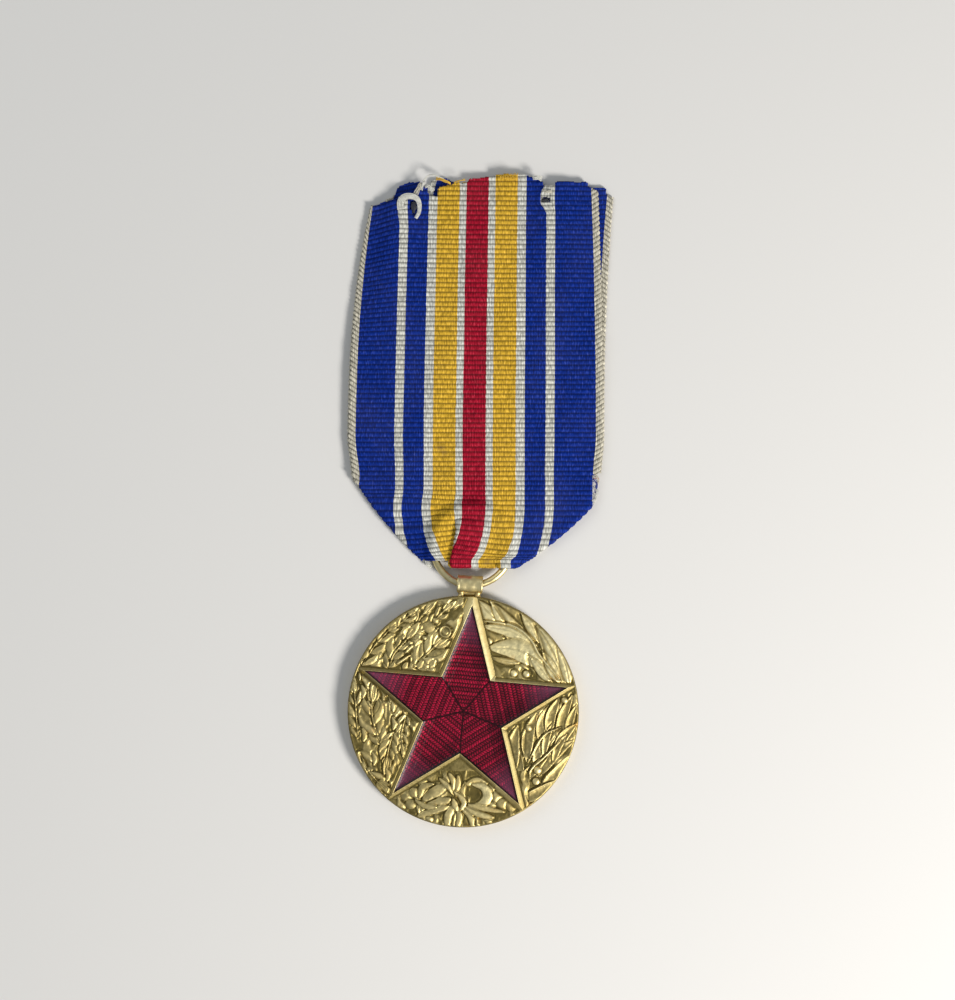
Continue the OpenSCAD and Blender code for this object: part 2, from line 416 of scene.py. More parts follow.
def oak_leaf(relief, vein, width, pairs, seed):
    """A worn oak leaf: pairs of long lobes that lean forward from a mid-vein, like flames."""
    path = curve_points(vein, pairs + 2)
    ahead = np.gradient(path, axis=0)
    ahead /= np.hypot(*ahead.T)[:, None]
    for i, (point, along) in enumerate(zip(path[:-1], ahead)):
        size = width * (0.6 + 0.25 * math.sin(math.pi * (i + 0.5) / pairs))
        for side in (1, -1):
            luck = float(chance(i * 2 + side, seed))
            out = np.array([-along[1], along[0]]) * side
            tip = point + (along * (1.0 + 0.5 * luck) + out * (0.45 + 0.3 * luck)) * size * 0.85
            middle = (point + tip) / 2 + out * size * 0.2
            relief.stroke([point - along * 0.2 * size, middle, tip], size * (0.4 + 0.2 * luck),
                          0.06 + 0.1 * luck, 0.1 + 0.16 * luck, 0.7, 0.1)
    relief.stroke([path[-2], path[-1] + ahead[-1] * width * 0.5], width * 0.4, 0.2, 0.18, 0.6)
    relief.stroke(vein, 0.22, 0.26, 0.08)


def foliage(relief, region, lean, seed, height=0.27):
    """Small worn leaves that fill the ground: long wavy lumps along a direction, with steep sides."""
    x, y = turned(relief.x, relief.y, -lean)
    bent = y + 0.9 * (soft_noise(x * 0.75, y * 0.75, seed + 5) - 0.5)
    lump = soft_noise(x / 1.7 + 0.4 * bent, bent / 0.8, seed)
    lump = 0.72 * lump + 0.28 * soft_noise(x / 0.8, bent / 0.45, seed + 2)
    broad = soft_noise(x * 0.45, y * 0.45, seed + 9)
    shape = 0.04 + height * (0.7 + 0.6 * broad) * smooth(lump, 0.36, 0.66) + 0.06 * broad
    relief.height = np.where(region, shape, relief.height)


def upper_right_laurel(r):
    foliage(r, (r.x > 0) & (r.y > 3.5), math.radians(-50), 41, 0.12)
    each(
        r.leaf,
        ((4.6, 13.4), (1.5, 15.9), 2.0, 0.27, 0.13, 0.05),
        ((7.4, 12.2), (1.9, 16.2), 2.4, 0.27, 0.13, 0.08),
        ((10.9, 8.3), (4.0, 15.9), 2.9, 0.29, 0.13, 0.05),
        ((10.9, 10.2), (8.4, 14.2), 1.9, 0.25, 0.13, -0.05),
        ((14.6, 4.0), (10.7, 12.3), 3.0, 0.3, 0.1, -0.05, 0.13),
        ((15.3, 3.9), (13.6, 9.4), 1.6, 0.27, 0.13, -0.05),
        ((10.4, 9.6), (2.6, 12.4), 2.1, 0.29, 0.13, -0.1),
        ((8.6, 7.4), (3.6, 8.0), 1.2, 0.2, 0.13, 0.08),
        ((11.7, 6.6), (3.4, 9.3), 3.1, 0.31, 0.12, -0.13),
        ((12.7, 4.3), (9.7, 7.9), 1.6, 0.28),
        ((13.8, 4.2), (11.4, 8.8), 1.5, 0.3),
    )
    stem = [(14.2, 4.2), (12.4, 6.5), (10.8, 8.5), (9.7, 10.5), (7.1, 12.5), (2.5, 13.2)]
    r.stroke(stem, 0.42, 0.34, 0.12)
    each(
        r.groove,
        ([(4.4, 15.8), (6.2, 12.9)], 0.55),
        ([(10.4, 12.8), (11.3, 10.0), (12.0, 7.5)], 0.6),
        ([(3.4, 8.5), (5.0, 7.0), (7.1, 6.6)], 0.6, 0.14),
        ([(9.3, 8.2), (9.6, 5.6)], 0.5),
    )
    for x, y in ((3.7, 10.2), (7.3, 5.6), (9.1, 5.5)):
        r.dome(x, y, 0.55, 0.24)
    r.pit(10.1, 4.9, 0.45)


def lower_right_laurel(r):
    foliage(r, (r.x > 5.0) & (r.y < 3.5), math.radians(62), 47, 0.2)
    leaves = (
        ((8.4, -11.0), (6.9, -3.0), 1.5, -0.04), ((7.2, -8.6), (7.8, -2.0), 2.3, 0.06),
        ((9.2, -6.9), (10.6, -0.1), 2.0, 0.08), ((11.1, -4.4), (12.4, 1.0), 1.7, 0.08),
        ((12.3, -3.4), (13.9, 2.2), 1.7, 0.08), ((13.7, -3.8), (15.7, 2.4), 1.7, 0.05),
        ((15.0, -3.6), (16.3, 1.0), 1.3, 0.05), ((10.2, -7.5), (13.5, -2.6), 1.8, 0.1),
        ((13.2, -5.4), (16.3, -1.7), 1.6, 0.05), ((11.0, -9.1), (15.9, -4.1), 1.8, 0.08),
        ((11.4, -10.6), (15.3, -6.3), 1.9, -0.06), ((7.8, -12.4), (9.7, -7.7), 1.7, 0.05),
        ((8.2, -12.8), (13.3, -9.9), 1.9, -0.06), ((9.6, -9.6), (12.3, -6.3), 1.2, 0.08),
        ((11.6, -6.4), (12.9, -1.6), 1.2, 0.06), ((12.9, -7.2), (14.9, -3.2), 1.2, 0.06),
    )
    for base, tip, width, bend in leaves:
        r.leaf(base, tip, width * 0.92, 0.3, -0.14, bend, 0.0, 0.12)
    r.stroke([(9.3, -7.3), (11.5, -3.5), (14.0, -2.2)], 0.3, 0.3)
    r.stroke([(8.4, -12.0), (9.6, -8.6), (11.6, -6.6), (14.0, -4.2)], 0.32, 0.32)
    for x, y, radius in ((9.4, -2.3, 0.5), (14.6, 1.7, 0.5), (10.7, -8.4, 0.6), (10.5, -10.0, 0.6)):
        r.dome(x, y, radius, 0.26)
    r.groove([(8.9, -1.7), (8.7, -6.0)], 0.5, 0.15)


def bow(r):
    foliage(r, (r.y < -8.5) & (np.abs(r.x) < 9.5), math.radians(100), 53, 0.2)
    for x, y, radius in (
        (-8.2, -12.1, 0.9), (-7.1, -11.6, 0.8), (4.6, -12.3, 1.0), (5.7, -13.3, 0.9), (2.5, -14.4, 0.8),
        (-7.6, -13.3, 0.8), (6.9, -13.6, 0.8), (4.0, -13.6, 0.7), (-5.8, -10.4, 0.7), (3.9, -11.0, 0.7),
        (-4.9, -15.4, 0.6), (3.6, -15.6, 0.6),
    ):
        r.dome(x, y, radius, 0.14, 0.16, 0.08)
    each(
        r.stroke,
        ([(-6.3, -12.3), (-5.9, -10.9), (-4.4, -10.4)], 1.0, 0.18, 0.1),
        ([(-5.6, -12.7), (-3.9, -11.4), (-2.4, -10.6)], 1.6, 0.22, 0.12),
        ([(-4.9, -13.3), (-3.4, -13.1), (-2.0, -12.6)], 1.4, 0.22, 0.1),
    )
    for x, y, width in ((-3.3, -9.7, 0.9), (-1.9, -9.0, 1.1), (-0.7, -9.3, 0.9), (0.3, -10.2, 0.8)):
        r.stroke([(-1.0, -12.2), ((x - 1.0) / 2 + 0.15, y - 1.2), (x, y)], width, 0.2, 0.14, 0.4)
    each(
        r.stroke,
        ([(0.4, -10.5), (2.0, -9.9), (3.3, -10.3)], 1.1, 0.22, 0.1, 0.5),
        ([(1.4, -10.5), (3.0, -10.9), (3.5, -12.3), (2.4, -13.5), (0.9, -13.5)], 1.5, 0.24, 0.16, 0.7),
        ([(0.2, -10.8), (-0.1, -11.8), (0.3, -12.8)], 0.8, 0.24, 0.12),
    )
    r.pit(1.3, -11.8, 0.8, 0.2)
    r.pit(-5.1, -11.7, 0.6, 0.14)
    each(
        r.stroke,
        ([(-1.9, -13.7), (-4.2, -14.2), (-6.4, -15.0)], 1.1, 0.2, 0.12),
        ([(-1.5, -13.8), (-2.2, -15.0), (-2.3, -16.3)], 1.2, 0.22, 0.14, 0.3),
        ([(-0.8, -13.8), (-0.5, -15.0), (-0.8, -16.4)], 0.9, 0.22, 0.12, 0.3),
        ([(0.0, -14.0), (1.0, -15.0), (1.3, -16.3)], 1.0, 0.22, 0.12, 0.3),
        ([(0.4, -13.7), (2.2, -14.7), (4.2, -15.2)], 1.1, 0.2, 0.14),
        ([(0.8, -13.4), (3.4, -14.0), (5.8, -14.4)], 0.9, 0.2, 0.1),
        ([(-1.2, -11.6), (0.1, -12.9), (-0.3, -14.0)], 0.9, 0.28, 0.12),
        ([(-1.4, -12.6), (-1.0, -14.1)], 1.0, 0.28, 0.12),
    )
    r.groove([(-0.9, -12.2), (-0.5, -13.3)], 0.35, 0.16)
    r.stroke([(-6.8, -12.8), (-5.4, -13.6), (-4.0, -13.7)], 0.9, 0.2, 0.1)


def upper_left_oak(r):
    foliage(r, (r.x < 0.5) & (r.y > 5.0), math.radians(56), 11)
    for vein, width, pairs, seed in (
        ([(-14.4, 7.0), (-13.0, 9.3), (-11.1, 11.4), (-9.7, 12.7)], 2.5, 3, 2),
        ([(-6.9, 12.0), (-6.2, 13.6), (-4.6, 15.4)], 2.3, 2, 5),
        ([(-9.2, 12.6), (-8.2, 13.6), (-7.2, 14.6)], 1.8, 2, 8),
        ([(-10.6, 6.7), (-10.0, 8.4), (-8.4, 10.2), (-7.2, 11.8)], 2.7, 3, 3),
        ([(-4.6, 12.6), (-3.3, 14.1), (-1.8, 15.4)], 1.9, 2, 4),
        ([(-6.6, 7.0), (-5.0, 8.6), (-3.0, 10.6)], 3.4, 3, 6),
    ):
        oak_leaf(r, vein, width, pairs, seed)
    for x, y, radius in ((-4.9, 12.2, 0.9), (-4.0, 13.2, 0.5), (-5.6, 10.7, 0.4), (-7.7, 10.0, 0.4)):
        r.dome(x, y, radius, 0.2, 0.16)
    r.dome(-2.6, 11.6, 1.0, 0.14, 0.2)
    r.ring(-2.6, 11.6, 0.75, 0.35, 0.26, 0.1)
    r.pit(-2.5, 11.8, 0.35, 0.12)
    r.stroke([(-8.4, 8.5), (-7.3, 9.6)], 0.45, 0.32)
    r.stroke([(-9.6, 6.9), (-7.7, 8.2)], 0.45, 0.32)
    for x, y in ((-8.4, 6.6), (-6.2, 6.8), (-4.4, 6.9), (-14.1, 8.2)):
        r.stroke([(x - 0.3, y - 0.4), (x + 0.3, y + 0.5)], 0.9, 0.16, 0.16)


def lower_left_oak(r):
    foliage(r, (r.x < -6.0) & (r.y < 6.0) & (r.y > -12.5), math.radians(84), 23)
    for vein, width, pairs, seed in (
        ([(-15.2, -3.4), (-15.4, -1.0), (-15.6, 1.8), (-15.8, 4.4)], 2.2, 4, 12),
        ([(-14.9, -6.0), (-13.3, -9.0), (-11.1, -11.1)], 2.5, 3, 13),
        ([(-12.0, -4.4), (-12.9, -1.8), (-13.2, 0.4), (-12.9, 3.6)], 2.9, 4, 14),
        ([(-8.3, -0.6), (-8.9, -3.2), (-8.6, -6.0)], 1.9, 3, 15),
        ([(-10.2, -3.2), (-10.8, -5.4), (-11.2, -7.8)], 2.3, 3, 16),
    ):
        oak_leaf(r, vein, width, pairs, seed)
    r.stroke([(-14.9, 4.6), (-14.9, 5.7)], 0.5, 0.3)
    r.stroke([(-10.1, 0.1), (-10.1, 1.5)], 0.7, 0.3)
    for x, y in ((-14.5, 2.9), (-14.4, -3.4), (-11.2, 3.1), (-10.1, -1.7), (-12.9, -6.8), (-11.0, -9.1)):
        r.stroke([(x, y - 0.8), (x + 0.2, y), (x - 0.1, y + 0.9)], 0.8, 0.18, 0.18)
    r.groove([(-10.9, 2.4), (-11.0, -1.9)], 0.6, 0.14)
    r.groove([(-7.6, -2.4), (-7.8, -6.2)], 0.5, 0.12)


def relief_height(x, y):
    """Height of the leaves and the bow over the field, for points in mm from the disc's centre."""
    relief = Relief(x, y, 0.13 + 0.09 * (soft_noise(x * 0.9, y * 0.9, 3) - 0.5))
    for panel in (upper_left_oak, lower_left_oak, upper_right_laurel, lower_right_laurel, bow):
        panel(relief)
    wobble = soft_noise(x * 2.1, y * 2.1, 31) - 0.5
    grain = soft_noise(x * 5.5, y * 5.5, 37) - 0.5
    return relief.height + 0.035 * wobble + 0.012 * grain


# ---- disc: mesh
DISC_COLUMNS = 1500
FACE_ROWS = 112
BORDER_SLOPE_W = 0.5
BORDER_H, BORDER_FALL = 0.32, 0.26
RIM_H = 0.2


def struck_disc():
    """The disc: back, side, rim, leaves, star border and the walls of the cell."""
    angle = star_columns(DISC_COLUMNS)
    star = star_radius(angle)
    full = np.ones_like(angle)
    back = ((0.0, 0.06), (DISC_R * 0.5, 0.03), (DISC_R - 0.9, 0.03), (DISC_R - 0.75, 0.0),
            (DISC_R - 0.15, 0.0), (DISC_R - 0.03, 0.07))
    rows = [(full * radius, full * z, full * 0.5) for radius, z in back]
    rows += [(full * DISC_R, full * z, full * 0.5) for z in np.linspace(0.2, FIELD_Z - 0.08, 8)]
    share = np.linspace(1, 0, FACE_ROWS)[:, None]
    radius = star + share * (DISC_R - star)
    z, cavity = face_height(np.broadcast_to(angle, radius.shape), radius, star)
    rows += list(zip(radius, z, cavity))
    # The walls of the cell get a low value: painted shade on them.
    for share in np.linspace(0.08, 1, 9):
        wall = z[-1] * (1 - share) + (FLOOR_Z + 0.02) * share
        rows.append((star * (1 - 0.006 * share), wall, full * 0.1))
    radius, z, cavity = (np.array([r[i] for r in rows]) for i in range(3))
    points = disc_points(np.broadcast_to(angle, radius.shape), radius, z)
    return points.reshape(-1, 3), grid_faces(len(rows), len(angle), wrap=True), cavity.ravel()


def face_height(angle, radius, star):
    """Height of the disc's face at angles and radii outside the star, and how pale to paint it, 0 to 1:
    how high it stands, with painted light that makes the right side, the upper-right panel, the bow and
    the wide border strip lighter.
    """
    place = disc_points(angle, radius, 0.0)
    x, y = place[..., 0] - DISC_X, place[..., 1] - DISC_Y
    beyond = (radius / star - 1) * EDGE_R
    to_rim = DISC_R - radius
    wide = 0.45 * smooth(y, 4.2, 4.9) * (x > 0) * (x < 4.6)
    wide += 0.2 * smooth(-y, 2.2, 3.0) * (x > 4.6)
    slope_w = BORDER_SLOPE_W + wide
    ground = 0.1 * smooth(beyond, slope_w, slope_w + 0.3)
    inner = smooth(beyond, slope_w - 0.15, slope_w + 0.4)
    leaves = relief_height(x, y) * inner * smooth(to_rim, -0.1, 0.35) + ground * (1 - inner)
    border = BORDER_H - BORDER_FALL * beyond / slope_w
    border += 0.05 * smooth(beyond, 0.0, 0.05) * (1 - smooth(beyond, 0.1, 0.2))
    border = np.where(beyond < slope_w, border, 0)
    rim = RIM_H * np.sqrt(np.clip(1 - ((to_rim - RIM_W / 2) / (RIM_W / 2)) ** 2, 0, 1))
    rim *= 0.4 + 0.6 * soft_noise(angle * 9, angle * 0, 3)
    height = np.maximum(np.maximum(leaves, border), rim)
    drop = 0.1 * (1 - smooth(to_rim, 0.0, 0.1))
    # Painted light: the right side, the upper-right panel and the bow are painted lighter than the left.
    painted_side_light = 0.78 + 0.22 * smooth(x, -3.0, 3.0) + 0.3 * smooth(x, 1.0, 2.0) * smooth(y, 3.0, 5.0)
    painted_side_light += 0.12 * smooth(-y, 8.0, 10.0) * smooth(6.0 - np.abs(x), 0.0, 2.0)
    # Painted highlight along the wide border strip of the upper-right panel.
    painted_strip_light = 0.75 * wide * (1 - smooth(beyond, slope_w - 0.1, slope_w + 0.1))
    return FIELD_Z + height - drop, np.clip(height * painted_side_light / 0.52 + painted_strip_light, 0, 1)


ROW_PITCH = 0.58
DASH_PITCH = 0.38
PEBBLE_H = 0.2
GRID_STEP = 0.07


def star_floor():
    """Engine turning on the star's floor: five kites with rows of slanted dashes across each arm."""
    parts, heights = [], []
    along = np.arange(0.02, STAR_R - 0.3, GRID_STEP)
    across = np.linspace(-1, 1, 131)
    to_tip = NOTCH_X * (STAR_R - along) / (STAR_R - NOTCH_Y)
    half = np.where(along < NOTCH_Y, along * math.tan(HALF_STEP), to_tip)
    x = across[None, :] * half[:, None]
    y = np.broadcast_to(along[:, None], x.shape)
    for arm in range(POINTS):
        h = engine_turning(x, y, arm)
        px, py = turned(x, y, -arm * 2 * HALF_STEP + STAR_TILT)
        points = np.stack([px + DISC_X, py + DISC_Y, FLOOR_Z + 0.04 + PEBBLE_H * h], -1)
        parts.append((points.reshape(-1, 3), grid_faces(len(along), len(across))))
        heights.append(h.ravel())
    return *join(parts), np.concatenate(heights)


def engine_turning(x, y, arm):
    """Height, 0 to 1, of the dashes at x across and y along an arm."""
    lane = y / ROW_PITCH + 0.04 * np.sin(x * 1.3 + arm)
    row = np.floor(lane)
    inside = lane - row
    wave = np.sin(row * 12.9898 + arm * 4.1)
    dash = x / DASH_PITCH + 0.5 * (row % 2) + 0.6 * (inside - 0.5) * np.where(row % 2, 1, -1) + 0.2 * wave
    bump = np.abs(np.sin(math.pi * dash)) ** 0.7 * np.sin(math.pi * np.clip(inside, 0, 1)) ** 0.6
    strong = 0.5 + 0.5 * smooth(np.sin(row * 2.1 + arm * 1.7), -0.3, 0.8)
    side = np.minimum(np.abs(np.abs(x) - y * math.tan(HALF_STEP)) * math.cos(HALF_STEP), 1)
    seam = smooth(np.where(y < NOTCH_Y + 0.4, side, 1), 0.03, 0.2)
    return bump * strong * seam


ENAMEL_COLUMNS = 900
CREEP_H = 0.34
CREEP_W = 0.48
WALL_GAPS = (1.4, 1.1, 0.9, 0.7, 0.5, 0.38, 0.28, 0.2, 0.13, 0.07, 0.03, 0.0)


def enamel_mesh():
    """Enamel in the cell: a closed solid that creeps up the walls, with its reach and gap to them."""
    angle = star_columns(ENAMEL_COLUMNS)
    star = star_radius(angle) * 1.003
    top = ENAMEL_HIGH[2]
    middle = 0.001
    profile = [(scale, top) for scale in np.linspace(middle, 0.7, 20)]
    profile += [(1 - gap / EDGE_R, top + CREEP_H * math.exp(-gap / CREEP_W)) for gap in WALL_GAPS]
    profile += [(1.0, FLOOR_Z), (middle, FLOOR_Z)]
    points = np.concatenate([disc_points(angle, star * scale, z) for scale, z in profile])
    reach = np.concatenate([star * scale for scale, _ in profile])
    gap = np.concatenate([(1 - star * scale / star) * EDGE_R for scale, _ in profile])
    return points, grid_faces(len(profile), len(angle), wrap=True), reach, gap


# ---- tube, braze, ring and tacks
TUBE_SIDES = 96
RING_SIDES = 400
WIRE_SIDES = 28


def in_medal(points):
    """Points round the tube's centre, in the medal's own directions, moved to the frame."""
    x, y = turned(points[:, 0], points[:, 1], -SWAY)
    return np.stack([x + TUBE[0], y + TUBE[1], points[:, 2] + TUBE[2]], -1)


def tube_body():
    """A short drawn tube with rolled rims, worn slightly flat on top, and an open bore."""
    half = 1.85
    bore = 0.74
    lip = 0.16
    end = [(half - lip, bore), (half - 0.04, bore + 0.02), (half, bore + 0.12), (half, TUBE_R - 0.14),
           (half - 0.05, TUBE_R - 0.04), (half - lip, TUBE_R), (half - 0.3, TUBE_R - 0.05)]
    body = [(x, TUBE_R - 0.06 + 0.02 * math.sin(x * 5)) for x in np.linspace(-1.4, 1.4, 24)]
    profile = np.array([(-x, radius) for x, radius in end] + body + end[::-1])
    turn = steps_round(TUBE_SIDES)
    x = np.broadcast_to(profile[:, 0:1], (len(profile), TUBE_SIDES))
    radius = profile[:, 1:2] * (1 + 0.006 * np.sin(turn * 5) * np.sin(profile[:, 0:1] * 3))
    flat = 1 - 0.035 * bell(turn - math.pi / 2, 0.35) * (profile[:, 1:2] > 1)
    points = np.stack([x, radius * np.cos(turn), radius * flat * np.sin(turn)], -1).reshape(-1, 3)
    faces = grid_faces(len(profile), TUBE_SIDES, wrap=True)
    bore_rows = np.array([len(profile) - 1, 0])[:, None] * TUBE_SIDES + np.arange(TUBE_SIDES)
    first, last = bore_rows
    bridge = np.stack([first, np.roll(first, -1), np.roll(last, -1), last], -1)
    return in_medal(points), np.concatenate([faces, bridge])


def braze():
    """The braze under the tube: it flares at both sides and leaves a dark notch in the middle."""
    parts = []
    rim_y = DISC_R - math.hypot(DISC_X - TUBE[0], DISC_Y - TUBE[1])
    for side in (-1, 1):
        path = [(side * 1.25, -0.9, -0.1), (side * 1.2, -1.25, -0.1), (side * 1.15, -1.6, -0.1),
                (side * 1.3, rim_y - 0.25, -0.1), (side * 1.45, rim_y - 0.5, -0.15)]
        parts.append(tube_mesh(curve_points(path, 24), 0.42 + 0.16 * np.linspace(-1, 1, 24) ** 2, 20))
    path = [(-0.9, -1.3, -0.3), (0.0, -1.42, -0.35), (0.9, -1.3, -0.3)]
    parts.append(tube_mesh(curve_points(path, 16), 0.38, 16))
    points, faces = join(parts)
    return in_medal(points), faces


def ring_body():
    """The ring: round wire, slightly uneven, with a butt joint."""
    turn = steps_round(RING_SIDES)
    around = steps_round(WIRE_SIDES)
    dent = 0.012 * np.sin(turn * 7) + 0.008 * np.sin(turn * 19 + 1)
    joint = 0.06 * bell(turn - 1.2, 0.012)
    radius = (WIRE_R + dent - joint)[:, None] - 0.01
    reach = RING_R + radius * np.cos(around)
    points = np.stack([reach * np.cos(turn)[:, None], reach * np.sin(turn)[:, None],
                       radius * np.sin(around) * np.ones_like(reach)], -1).reshape(-1, 3)
    faces = grid_faces(RING_SIDES + 1, WIRE_SIDES, wrap=True) % len(points)
    return points + RING, faces


def tack_body(node):
    """A cross stitch of two-ply thread, on the back of a folded corner."""
    low, high = box_mm(node)
    middle, half = (low + high) / 2, (high - low)[0] / 2
    ply_r = (high - low)[2] / 4
    parts = []
    for lean in (1, -1):
        for ply in (0, math.pi):
            t = np.linspace(-1, 1, 60)
            twist = t * 16 + ply
            off = ply_r * 0.9
            x = t * half + off * np.cos(twist) * 0.7
            y = t * half * lean - off * np.cos(twist) * 0.7 * lean
            z = middle[2] + off * np.sin(twist) * 0.9 + 0.06 * (1 - t**2) * (0 if lean > 0 else 1)
            path = np.stack([x + middle[0], y + middle[1], z], -1)
            parts.append(tube_mesh(path, ply_r, 8))
    return join(parts)


# ---- ribbon: the woven strip
HALF_W = 18.5
RIB = 0.7
ROW = RIB / 5
CLOTH_T = 0.26
RIB_H = 0.13
EDGE_TWIST = 0.9
UV_ACROSS = 100
UV_ALONG = 200
LEFT_STRIPES = (("cream", 1.04), ("blue", 5.76), ("white", 1.33), ("blue", 3.13), ("white", 1.31),
                ("yellow", 3.29), ("white", 1.04))
STRIPES = LEFT_STRIPES + (("red", 3.2),) + LEFT_STRIPES[::-1]
CENTRE_X = -0.85
ROLL_Y = FOLD_Y + 1.3
NECK_HALF = 3.6
PLEAT_S = -2.2
PLEAT_R = 0.16
LEFT_FOLD = ((-18.4, 4.3), (-7.9, -8.5), 0.6)
RIGHT_FOLD = ((17.1, 0.6), (4.1, -10.0), -0.68)
FOLD_R = 0.235
FRONT_FLAP = 1.0
FRONT_Z, BACK_Z, OVER_RING_Z = 0.95, 0.32, 2.16
NECK_LOW = -10.15
ROLL_STEPS = 21
ROLL_DEPTH = 0.88

# Cut top edges: distance across the strip and height, for the front and the back layer
FRONT_TOP = (
    (-18.5, 42.8), (-17.4, 43.0), (-11.9, 43.8), (-10.9, 44.4), (-9.4, 44.3), (-8.8, 45.5), (-7.5, 45.7),
    (-7.1, 44.5), (-6.1, 44.2), (-5.9, 45.5), (-2.8, 46.3), (-2.4, 46.1), (-1.6, 46.2), (-1.3, 46.8),
    (1.7, 47.0), (2.0, 47.1), (2.6, 47.4), (5.8, 47.4), (7.1, 47.3), (8.8, 46.9), (10.2, 46.4),
    (10.4, 45.7), (11.5, 45.8), (11.8, 46.4), (16.9, 46.3), (17.3, 45.6), (18.5, 45.1),
)
BACK_TOP = (
    (-18.5, 43.8), (-17.6, 44.1), (-17.2, 45.8), (-15.5, 46.3), (-13.2, 46.5), (-12.7, 45.9),
    (-12.2, 45.4), (-11.5, 45.6), (-11.2, 46.7), (-8.8, 46.9), (-7.6, 46.5), (-6.0, 46.3), (0.0, 46.2),
    (6.0, 46.1), (6.8, 45.4), (9.8, 45.4), (10.4, 45.8), (15.6, 45.6), (17.3, 45.4), (17.5, 44.6),
    (18.5, 44.2),
)
# Middle and half sizes of the holes that a brooch pin left
PIN_HOLES = ((-9.55, 42.7, 0.3, 0.85), (9.5, 43.6, 0.44, 0.32))


def strip_columns():
    """Places across the strip, closer together where it is pleated."""
    fine = np.linspace(-HALF_W, HALF_W, 4001)
    step = 0.25 - 0.15 * smooth(fine, -5.2, -4.4) * (1 - smooth(fine, -0.2, 0.6))
    pace = np.concatenate([[0], np.cumsum(1 / step[1:])]) * (fine[1] - fine[0])
    return np.interp(np.linspace(0, pace[-1], int(pace[-1]) + 1), pace, fine)


def squeeze(y):
    """How far the left and right parts of the strip have come in, at a height."""
    below = np.clip(-y - 2, -8, 7.5)
    past = np.clip(below - 1.4, 0, None)
    left = 0.26 * past + 0.016 * past**2 - 0.3 * bell(below + 1, 1.6)
    right = 0.033 * np.clip(-y - 0.5, 0, 8.9) ** 2
    return left, right


def pleat(s, y):
    """Sideways shift and rise of the cloth at the pleat, for columns s and one height y."""
    left, right = (float(v) for v in squeeze(y))
    hidden = max(0.0, left + right)
    turns = math.tau * PLEAT_R
    amount = np.linspace(0.001, math.pi, 400)
    lean = float(np.interp(min(hidden, turns), turns * (1 - np.sin(amount) / amount), amount))
    back = max(0.0, (hidden - turns) / 2)
    start = PLEAT_S - turns / 2 - back / 2
    fine = np.linspace(start - 0.01, start + turns + back + 0.01, 300)
    shape = np.interp(fine, [start, start + turns / 2, start + turns / 2 + back, start + turns + back],
                      [0, 1, 1, 0]) * lean
    step = fine[1] - fine[0]
    x = np.concatenate([[0], np.cumsum((np.cos(shape[1:]) + np.cos(shape[:-1])) / 2 - 1)]) * step
    z = np.concatenate([[0], np.cumsum((np.sin(shape[1:]) + np.sin(shape[:-1])) / 2)]) * step
    spare = hidden - left - right
    shift = np.interp(s, fine, x) + left + spare * smooth(s, start - 2.0, start + turns + 2.0)
    rise = np.interp(s, fine, z) * (1 - smooth(s, start + turns + back + 1.0, start + turns + back + 5.5))
    return shift, rise


def drift(s, y, front):
    """Sideways shift of the warps above the pleat: lean, curled edges and the back layer's slip."""
    up = np.clip((y - 10) / 30.6, 0, 1.25)
    out_left = smooth(-s, 11.5, 17.5)
    shift = 0.24 * smooth(-s, 8, 17) + 0.23 * smooth(s, 12, 18.5)
    if front:
        shift += up**1.2 * (0.45 - 0.03 * s)
        shift += up**3 * (1.05 * out_left + 0.6 * smooth(-s, 17.2, 18.5))
        shift -= 0.45 * up**2 * smooth(s, 11.5, 18.0)
        shift -= 0.35 * smooth(y, 39.5, 42.5) * bell(s + 11.7, 1.6)
        pull = smooth(y, 41.6, 43.4) * (1 - 0.6 * smooth(y, 44.4, 46.0))
        shift -= 0.9 * pull * bell(s - 10.2, 0.95)
    else:
        shift = shift + 0.2 + up**2.2 * (2.5 - 0.08 * s) + 0.3 * out_left
    gather = smooth(-y, -9.5, -3.5)
    return shift + gather * (0.6 * smooth(-s, 8, 18.5) - 0.45 * smooth(s, 8, 18.5))


def front_height(x, y):
    """Height of the front layer's middle over the surface."""
    ridge = np.hypot(x - RING[0], y - RING[1]) - RING_R
    over = np.where(ridge > 0, bell(ridge, 1), 0.6 + 0.4 * bell(ridge, 1.5))
    base = FRONT_Z + 0.25 * smooth(-y, -6, 0) - 0.08 * smooth(y, 22, 42)
    base = base + 0.09 * np.sin(x * 0.55 + 1.3) * np.sin(y * 0.21) + 0.06 * np.sin(x * 0.9 - y * 0.33)
    return base + (OVER_RING_Z - base) * over


def back_height(y):
    """Height of the back layer's middle over the surface: it rises towards the ring."""
    return BACK_Z + 0.3 * smooth(-y, -8.5, -4.0)


def fold_corner(x, y, line):
    """Folds what lies beyond a bulging line under itself: new x, y, the drop and how far beyond."""
    (ax, ay), (bx, by), bulge = line
    length = math.hypot(bx - ax, by - ay)
    dx, dy = (bx - ax) / length, (by - ay) / length
    nx, ny = (dy, -dx) if bulge > 0 else (-dy, dx)
    t = ((x - ax) * dx + (y - ay) * dy) / length
    reach = (x - ax) * nx + (y - ay) * ny - abs(bulge) * np.clip(4 * t * (1 - t), 0, 1)
    beyond = np.clip(reach, 0, None)
    turn = np.clip(beyond / FOLD_R, 0, math.pi)
    after = np.clip(beyond - math.pi * FOLD_R, 0, None)
    out = FOLD_R * np.sin(turn) - after
    drop = FOLD_R * (1 - np.cos(turn))
    return x + nx * (out - beyond), y + ny * (out - beyond), drop, reach


def fold_corners(x, y):
    """Both corners folded: new x, y, the drop and how far beyond a fold line."""
    x, y, drop_l, reach_l = fold_corner(x, y, LEFT_FOLD)
    x, y, drop_r, reach_r = fold_corner(x, y, RIGHT_FOLD)
    return x, y, drop_l + drop_r, np.maximum(reach_l, reach_r)


